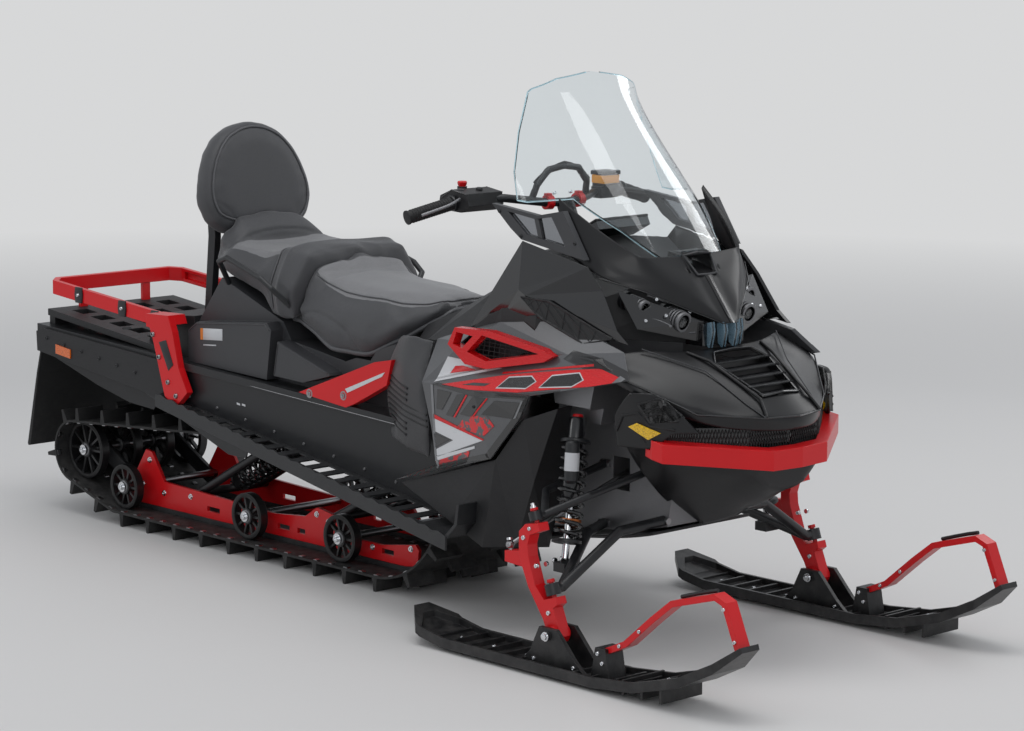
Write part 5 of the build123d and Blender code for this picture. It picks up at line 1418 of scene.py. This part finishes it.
def belt_places(inset, count):
    """Evenly spaced places and outward normals round the belt."""
    out, turns = [], []
    for (x1, z1, r1), (x2, z2, r2) in closed(BELT):
        run = Vector((x2 - x1, z2 - z1))
        c = (r1 - r2) / run.length
        u = run.normalized()
        s = (1 - c * c) ** 0.5
        turns.append(Vector((u.x * c + u.y * s, u.y * c - u.x * s)))
    legs = []
    for i, (x, z, r) in enumerate(BELT):
        a, b = turns[i - 1], turns[i]
        start = atan2(a.y, a.x)
        sweep = (atan2(b.y, b.x) - start) % (2 * pi)
        legs.append((r * sweep, True, (x, z, r, start)))
        x2, z2, r2 = BELT[(i + 1) % len(BELT)]
        p, q = Vector((x, z)) + b * r, Vector((x2, z2)) + b * r2
        legs.append(((q - p).length, False, (p, q, b)))
    total = sum(length for length, _, _ in legs)
    for i in range(count):
        d = (i + 0.5) * total / count
        for length, bent, leg in legs:
            if d <= length:
                break
            d -= length
        if bent:
            x, z, r, start = leg
            n = Vector((cos(start + d / r), sin(start + d / r)))
            p = Vector((x, z)) + n * (r - inset)
        else:
            p, q, n = leg
            p = p.lerp(q, d / length) - n * inset
        out.append((p.x, p.y, n.x, n.y))
    return out


class SLED_OT_track(bpy.types.Operator):
    """Belt clips, wheel tyres and caps, rail bolts"""
    bl_idname = "sled.track"
    bl_label = "Track fittings"

    def execute(self, context):
        clips = Piece("belt_clips")
        for x, z, nx, nz in belt_places(6.5, BELT_CLIPS):
            tx, tz = -nz, nx
            for y in (232, 118):
                ring = [(x - tx * 9, y, z - tz * 9), (x + tx * 9, y, z + tz * 9),
                        (x + tx * 7 - nx * 3, y, z + tz * 7 - nz * 3), (x - tx * 7 - nx * 3, y,
                                                                        z - tz * 7 - nz * 3)]
                clips.slab(ring, (0, 14, 0), steel(), 0.0, both=True)
        clips.done()

        wheels = Piece("wheel_trim")
        spots = [(x, ROAD_Z, 200, 68.0) for x in ROAD_X] + [(*REAR_WHEEL, y, 89.0) for y in (62, 190)]
        for x, z, y, r in spots:
            for face in (-1, 1):
                f = y + 13 * face
                wheels.turn((x, f, z), (x, f + 10 * face, z), [(-0.2, r - 12), (1.2, r - 10), (1.2, r - 4),
                                                               (-0.2, r - 2.5)],
                            rubber(), 48, True, loop=True)
                wheels.turn((x, f, z), (x, f + 10 * face, z), [(-0.5, 12), (-0.5, 20), (2.0, 19), (3.5, 15),
                                                               (3.5, 12)],
                            cast_metal(), 28, True, loop=True)
        for x, z, y in [(x, ROAD_Z, 220) for x in ROAD_X] + [(*REAR_WHEEL, 212)]:
            wheels.turn((x, y, z), (x, y + 10, z), [(-2, 0), (-2, 16), (1, 16), (1, 9), (8, 9), (9, 7),
                                                    (9, 4), (5, 4), (5, 0)],
                        chrome(), 18, True)
        wheels.done()

        rails = Piece("rail_bolts")
        for x, z in ((-1130, 196), (-1165, 118), (-1060, 104), (-929, 112), (-700, 104), (-620, 102),
                     (-342, 148), (-290, 134), (-210, 92), (-99, 92), (62, 112)):
            rails.turn((x, 150, z), (x, 160, z), [(-1, 0), (-1, 9), (1, 9), (1, 6.5), (5, 6.5), (5, 3),
                                                  (3, 3), (3, 0)],
                       chrome(), 12, True)
        rails.done()
        return {"FINISHED"}


class SLED_OT_rear(bpy.types.Operator):
    """Rack clamps and hooks, flap screws, tail lamp lens, box plates and body screws"""
    bl_idname = "sled.rear"
    bl_label = "Rear fittings"

    def execute(self, context):
        rack = Piece("rack_clamps")
        for x in (-1340, -1120, -960):
            z = 724.0 - (x + 1512) * 48.0 / 573.0
            ring = [(x - 16, 250, z + 3), (x + 16, 250, z + 3), (x + 20, 250, z - 20), (x + 16, 250, z - 45),
                    (x - 16, 250, z - 45), (x - 20, 250, z - 20)]
            rack.slab(ring, (0, 7, 0), coat_black(), 1.6, both=True)
            rack.bolt((x, 257, z - 21), (0, 1, 0), 6.0, chrome(), both=True)
        for x, z in ((-908, 620), (-880, 556), (-838, 486), (-800, 450)):
            rack.bolt((x, 299, z), (0, 1, 0), 8.0, steel(), both=True)
        rack.slab([(-880, 299, 600), (-846, 299, 610), (-812, 299, 540), (-836, 299, 520)], (0, 1.4, 0),
                  coat_black(), 0.5, both=True)
        for y in (-200, 200):
            rack.tube([(-1548, y - 18, 520), (-1566, y - 16, 540), (-1570, y, 552), (-1566, y + 16, 540),
                       (-1548, y + 18, 520)], 4.5, chrome())
        rack.done()

        rear = Piece("rear_fittings")
        for y in (-200, -100, 0, 100, 200):
            rear.bolt((-1552, y, 508), (-1, 0, 0), 6.0, chrome())
        rear.slab([(-1572.5, -140, 560), (-1572.5, 140, 560), (-1572.5, 140, 585), (-1572.5, -140, 585)],
                  (-3, 0, 0), red_lens(), 1.0)
        rear.tube([(-1574, -146, 557), (-1574, 146, 557), (-1574, 146, 588), (-1574, -146, 588)], 2.0,
                  coat_black(), False, True)
        rear.done()

        sides = Piece("side_screws")
        for x in range(-1480, -940, 90):
            z = 500 - (x + 1500) * 0.12
            sides.bolt((x, 276, z + 46), (0, 1, 0), 5.5, coat_black(), both=True)
        for x, z in ((-215, 528), (-70, 540)):
            sides.turn((x, 282, z), (x, 290, z), [(-1, 0), (-1, 13), (0.6, 13), (0.6, 9), (-0.6, 8),
                                                  (-0.6, 6.5), (2.5, 6),
                                                 (2.5, 3), (1, 3), (1, 0)], steel(), 18, True)
        for x in range(-780, 400, 130):
            z = 440 - (x + 900) * 0.1343 + 24
            sides.bolt((x, 265, z), (0, 1, 0), 4.5, steel(), both=True)
        plate = [(-742, 252, 652), (-640, 252, 660), (-640, 252, 626), (-742, 252, 618)]
        sides.slab(plate, (0, 1.0, 0), bare_label(), 0.4, both=True)
        sides.slab([(-742, 253, 652), (-730, 253, 653), (-730, 253, 619), (-742, 253, 618)], (0, 0.5, 0),
                   orange_film(), 0.0, both=True)
        sides.slab([(-730, 252, 606), (-670, 252, 611), (-670, 252, 607), (-730, 252, 602)], (0, 0.8, 0),
                   bare_label(), 0.3, both=True)
        sides.tube([(-796, 252, 640), (-760, 252, 664), (-446, 252, 694), (-428, 252, 678)], 2.6,
                   grey_plastic(), False, both=True)
        sides.tube([(-402, 255, 556), (-385, 255, 648), (-170, 255, 586)], 2.2, grey_plastic(), False,
                   both=True)
        sides.tube([(-850, 271, 534), (-400, 277, 512), (150, 277, 487)], 1.2, steel(), False, both=True)
        sides.done()
        return {"FINISHED"}


GRIP_RINGS, DIAL_MARKS = 15, 9
DASH_X, DASH_Z, DASH_TILT = 690, 1048, radians(28.0)


class SLED_OT_controls(bpy.types.Operator):
    """Grip rings, kill switch, amber fluid window, clamps, levers and the instrument's bezel"""
    bl_idname = "sled.controls"
    bl_label = "Bar controls"

    def execute(self, context):
        bar = Piece("bar_fittings")
        a, b = (401.7, 314.0, 1108.6), (372, 440, 1078)
        run = (Vector(b) - Vector(a)).length
        for i in range(GRIP_RINGS):
            d = 8 + i * (run - 16) / GRIP_RINGS
            bar.turn(a, b, [(d, 15), (d + 0.8, 18.2), (d + 3.6, 18.2), (d + 4.4, 15)], hard_rubber(), 28,
                     True, loop=True)
        bar.turn(b, a, [(-4, 0), (-4, 13), (-2, 19), (2, 19), (3, 16), (3, 0)], hard_rubber(), 28, True)
        bar.turn(a, b, [(-6, 13), (-6, 21), (0, 21), (0, 13)], coat_black(), 28, True, loop=True)
        bar.turn((376, -252, 1141), (376, -252, 1170), [(0, 0), (0, 13), (7, 13), (7, 0)], coat_black(), 24)
        bar.turn((376, -252, 1147), (376, -252, 1170), [(0, 0), (0, 9), (6, 12), (12, 13), (15, 11), (16, 0)],
                 red_plastic(), 24)
        bar.turn((499, 46, 1102), (496, 70, 1103), [(0, 12), (0, 19), (20, 19), (20, 12)], red_metal(), 24,
                 True, loop=True)
        bar.slab([(489, 48, 1118), (505, 48, 1118), (505, 48, 1126), (489, 48, 1126)], (0, 18, 0),
                 red_metal(), 2.0, both=True)
        bar.slab([(446, 156, 1137), (494, 156, 1137), (494, 216, 1137), (446, 216, 1137)], (0, 0, 22),
                 amber_window(), 2.0)
        bar.slab([(444, 154, 1160), (496, 154, 1160), (496, 218, 1160), (444, 218, 1160)], (0, 0, 11),
                 coat_black(), 2.0)
        for x, y in ((450, 160), (490, 212)):
            bar.bolt((x, y, 1171), (0, 0, 1), 3.5, chrome())
        bar.tube([(430, -310, 1122), (446, -350, 1112), (428, -400, 1096), (414, -428, 1086)], 4.5,
                 cast_metal())
        for x, y, z in ((420, -232, 1143), (404, -284, 1141)):
            bar.turn((x, y, z - 2), (x, y, z + 10), [(0, 0), (0, 9), (5, 9), (7, 6), (7, 0)], grey_plastic(),
                     20)
        bar.tube([(352, -200, 1120), (392, -180, 1143), (452, -180, 1134)], 2.0, gloss_black(), False)
        bar.tube([(352, -304, 1120), (392, -304, 1143), (452, -304, 1134)], 2.0, gloss_black(), False)
        for y in (-30, 30):
            bar.bolt((494, y, 1124), (-0.44, 0, 0.9), 5.5, chrome())
        bar.tube([(500, 0, 1206), (498, 58, 1198), (491, 103, 1156)], 2.4, hard_rubber(), both=True)
        bar.done("steering", angle=40.0)

        dash = Piece("instrument_bezel")
        c, s = cos(DASH_TILT), sin(DASH_TILT)

        def face(u, v, w):
            """Place on the leaning instrument: u up its face, v across, w out of it."""
            return (DASH_X + u * c - w * s, v, DASH_Z + u * s + w * c)
        dash.tube([face(-34, -94, 13), face(34, -94, 13), face(34, 94, 13), face(-34, 94, 13)], 4.0,
                  grained_black(), False, True)
        for y, r in ((-48, 24), (48, 24)):
            dash.turn(face(0, y, 13), face(0, y, 20), [(0, r), (0, r + 2), (1.6, r + 2), (1.6, r)],
                      silver_panel(), 40, loop=True)
            for k in range(DIAL_MARKS):
                g = radians(-120 + k * 30)
                p, q = face(sin(g) * (r - 5), y + cos(g) * (r - 5), 13.3), face(sin(g) * (r - 1),
                                                                                y + cos(g) * (r - 1), 13.3)
                dash.tube([p, q], 0.6, white_film(), False)
        dash.done()
        return {"FINISHED"}


# ------------------------------------------------------------------ studio
def area_light(name, at, look, size, power):
    data = bpy.data.lights.new(name, "AREA")
    data.shape, data.size, data.size_y, data.energy = "RECTANGLE", size[0], size[1], power
    lamp = bpy.data.objects.new(name, data)
    lamp.location = at
    lamp.rotation_euler = (Vector(look) - Vector(at)).to_track_quat("-Z", "Y").to_euler()
    bpy.context.collection.objects.link(lamp)


def seen_straight(n):
    """1 for a ray straight from the camera or just out of something clear."""
    path = n.add("ShaderNodeLightPath").outputs
    return n.sum("MAXIMUM", path["Is Camera Ray"], path["Is Transmission Ray"])


BACKDROP = (0.68, 0.685, 0.69)
FLOOR_SIZE = 400.0
FADE_START, FADE_END = 4.0, 9.0  # distances between which the floor turns into the backdrop
LIGHTS = (  # name, place, place lit, size, power in watts
    ("overhead", (0.6, -0.4, 4.6), (0.1, 0.0, 0.4), (4.2, 2.2), 64.0),
    ("front side", (4.6, -4.2, 2.6), (0.6, 0.0, 0.6), (2.4, 1.6), 26.0),
    ("rear side", (-3.6, -4.4, 3.0), (-0.6, 0.0, 0.6), (2.6, 1.4), 22.0),
    ("far rim", (1.0, 4.8, 3.2), (0.2, 0.0, 0.7), (3.0, 1.2), 26.0),
)
CAMERA_AT = (6.282, -5.692, 1.924)
CAMERA_YAW, CAMERA_DIP, CAMERA_ROLL = 46.4, 8.85, 0.37
CAMERA_LENS = 108.13


class SLED_OT_studio(bpy.types.Operator):
    """Pale floor, plain soft lamps, world and camera"""
    bl_idname = "sled.studio"
    bl_label = "Studio"

    def execute(self, context):
        scene = context.scene
        bm = bmesh.new()
        bmesh.ops.create_grid(bm, x_segments=1, y_segments=1, size=FLOOR_SIZE)
        mesh = bpy.data.meshes.new("floor")
        bm.to_mesh(mesh)
        bm.free()
        floor = bpy.data.objects.new("floor", mesh)
        context.collection.objects.link(floor)
        material, n, shader = new_material("Pale floor")
        cloud = n.noise(0.8, 4.0, 0.6)
        base = colours().floor
        n.give(shader.inputs["Base Color"], n.mix(cloud, tuple(c * 0.985 for c in base),
                                                  tuple(c * 1.015 for c in base)))
        n.give(shader.inputs["Roughness"], n.sum("MULTIPLY_ADD", cloud, 0.1, 0.6))
        mesh.materials.append(material)
        far = n.add("ShaderNodeVectorMath", {"Vector": n.place()}, operation="LENGTH").outputs["Value"]
        seen = seen_straight(n)
        glow = n.add("ShaderNodeEmission", {"Color": (*BACKDROP, 1.0), "Strength": 1.0})
        blend = n.add("ShaderNodeMixShader")
        n.give(blend.inputs[0], n.sum("MULTIPLY", n.ramp(far, FADE_START, FADE_END), seen))
        n.give(blend.inputs[1], shader.outputs[0])
        n.give(blend.inputs[2], glow.outputs[0])
        n.give(material.node_tree.nodes["Material Output"].inputs["Surface"], blend.outputs[0])

        world = bpy.data.worlds.new("studio")
        world.use_nodes = True
        w = Nodes(world.node_tree)
        seen = seen_straight(w)
        sky = world.node_tree.nodes["Background"]
        w.give(sky.inputs["Color"], w.mix(seen, (0.62, 0.64, 0.67), BACKDROP))
        w.give(sky.inputs["Strength"], w.blend(seen, 0.8, 1.0))
        scene.world = world

        for light in LIGHTS:
            area_light(*light)

        data = bpy.data.cameras.new("camera")
        data.lens, data.sensor_width = CAMERA_LENS, 36.0
        data.clip_end = 100.0
        camera = bpy.data.objects.new("camera", data)
        yaw, dip, roll = map(radians, (CAMERA_YAW, CAMERA_DIP, CAMERA_ROLL))
        ahead = Vector((-sin(yaw) * cos(dip), cos(yaw) * cos(dip), -sin(dip)))
        right = Vector((cos(yaw), sin(yaw), 0.0))
        up = right.cross(ahead)
        r, u = right * cos(roll) + up * sin(roll), up * cos(roll) - right * sin(roll)
        camera.matrix_world = Matrix.Translation(CAMERA_AT) @ Matrix((r, u, -ahead)).transposed().to_4x4()
        context.collection.objects.link(camera)
        scene.camera = camera
        scene.view_settings.view_transform = "Standard"
        return {"FINISHED"}


class SLED_PT_panel(bpy.types.Panel):
    """Lists the sled's dressing steps"""
    bl_idname = "SLED_PT_panel"
    bl_label = "Snowmobile"
    bl_space_type = "VIEW_3D"
    bl_region_type = "UI"
    bl_category = "Snowmobile"

    def draw(self, context):
        column = self.layout.column(align=True)
        for step in STEPS:
            column.operator(step.bl_idname)
        for settings in (context.scene.sled_colours, context.scene.sled_sizes):
            for key in settings.__annotations__:
                self.layout.prop(settings, key)


STEPS = [SLED_OT_finishes, SLED_OT_shells, SLED_OT_seats, SLED_OT_knee_pads, SLED_OT_stripes, SLED_OT_hood,
         SLED_OT_lamps, SLED_OT_screen, SLED_OT_springs, SLED_OT_skis, SLED_OT_track, SLED_OT_rear,
         SLED_OT_controls, SLED_OT_studio]
CLASSES = [SledColours, SledSizes, *STEPS, SLED_PT_panel]


def register():
    for made in CLASSES:
        bpy.utils.register_class(made)
    bpy.types.Scene.sled_colours = PointerProperty(type=SledColours)
    bpy.types.Scene.sled_sizes = PointerProperty(type=SledSizes)


def unregister():
    del bpy.types.Scene.sled_sizes
    del bpy.types.Scene.sled_colours
    for made in reversed(CLASSES):
        bpy.utils.unregister_class(made)


def main():
    register()
    for step in STEPS:
        kind, name = step.bl_idname.split(".")
        getattr(getattr(bpy.ops, kind), name)()


if __name__ == "__main__":
    main()
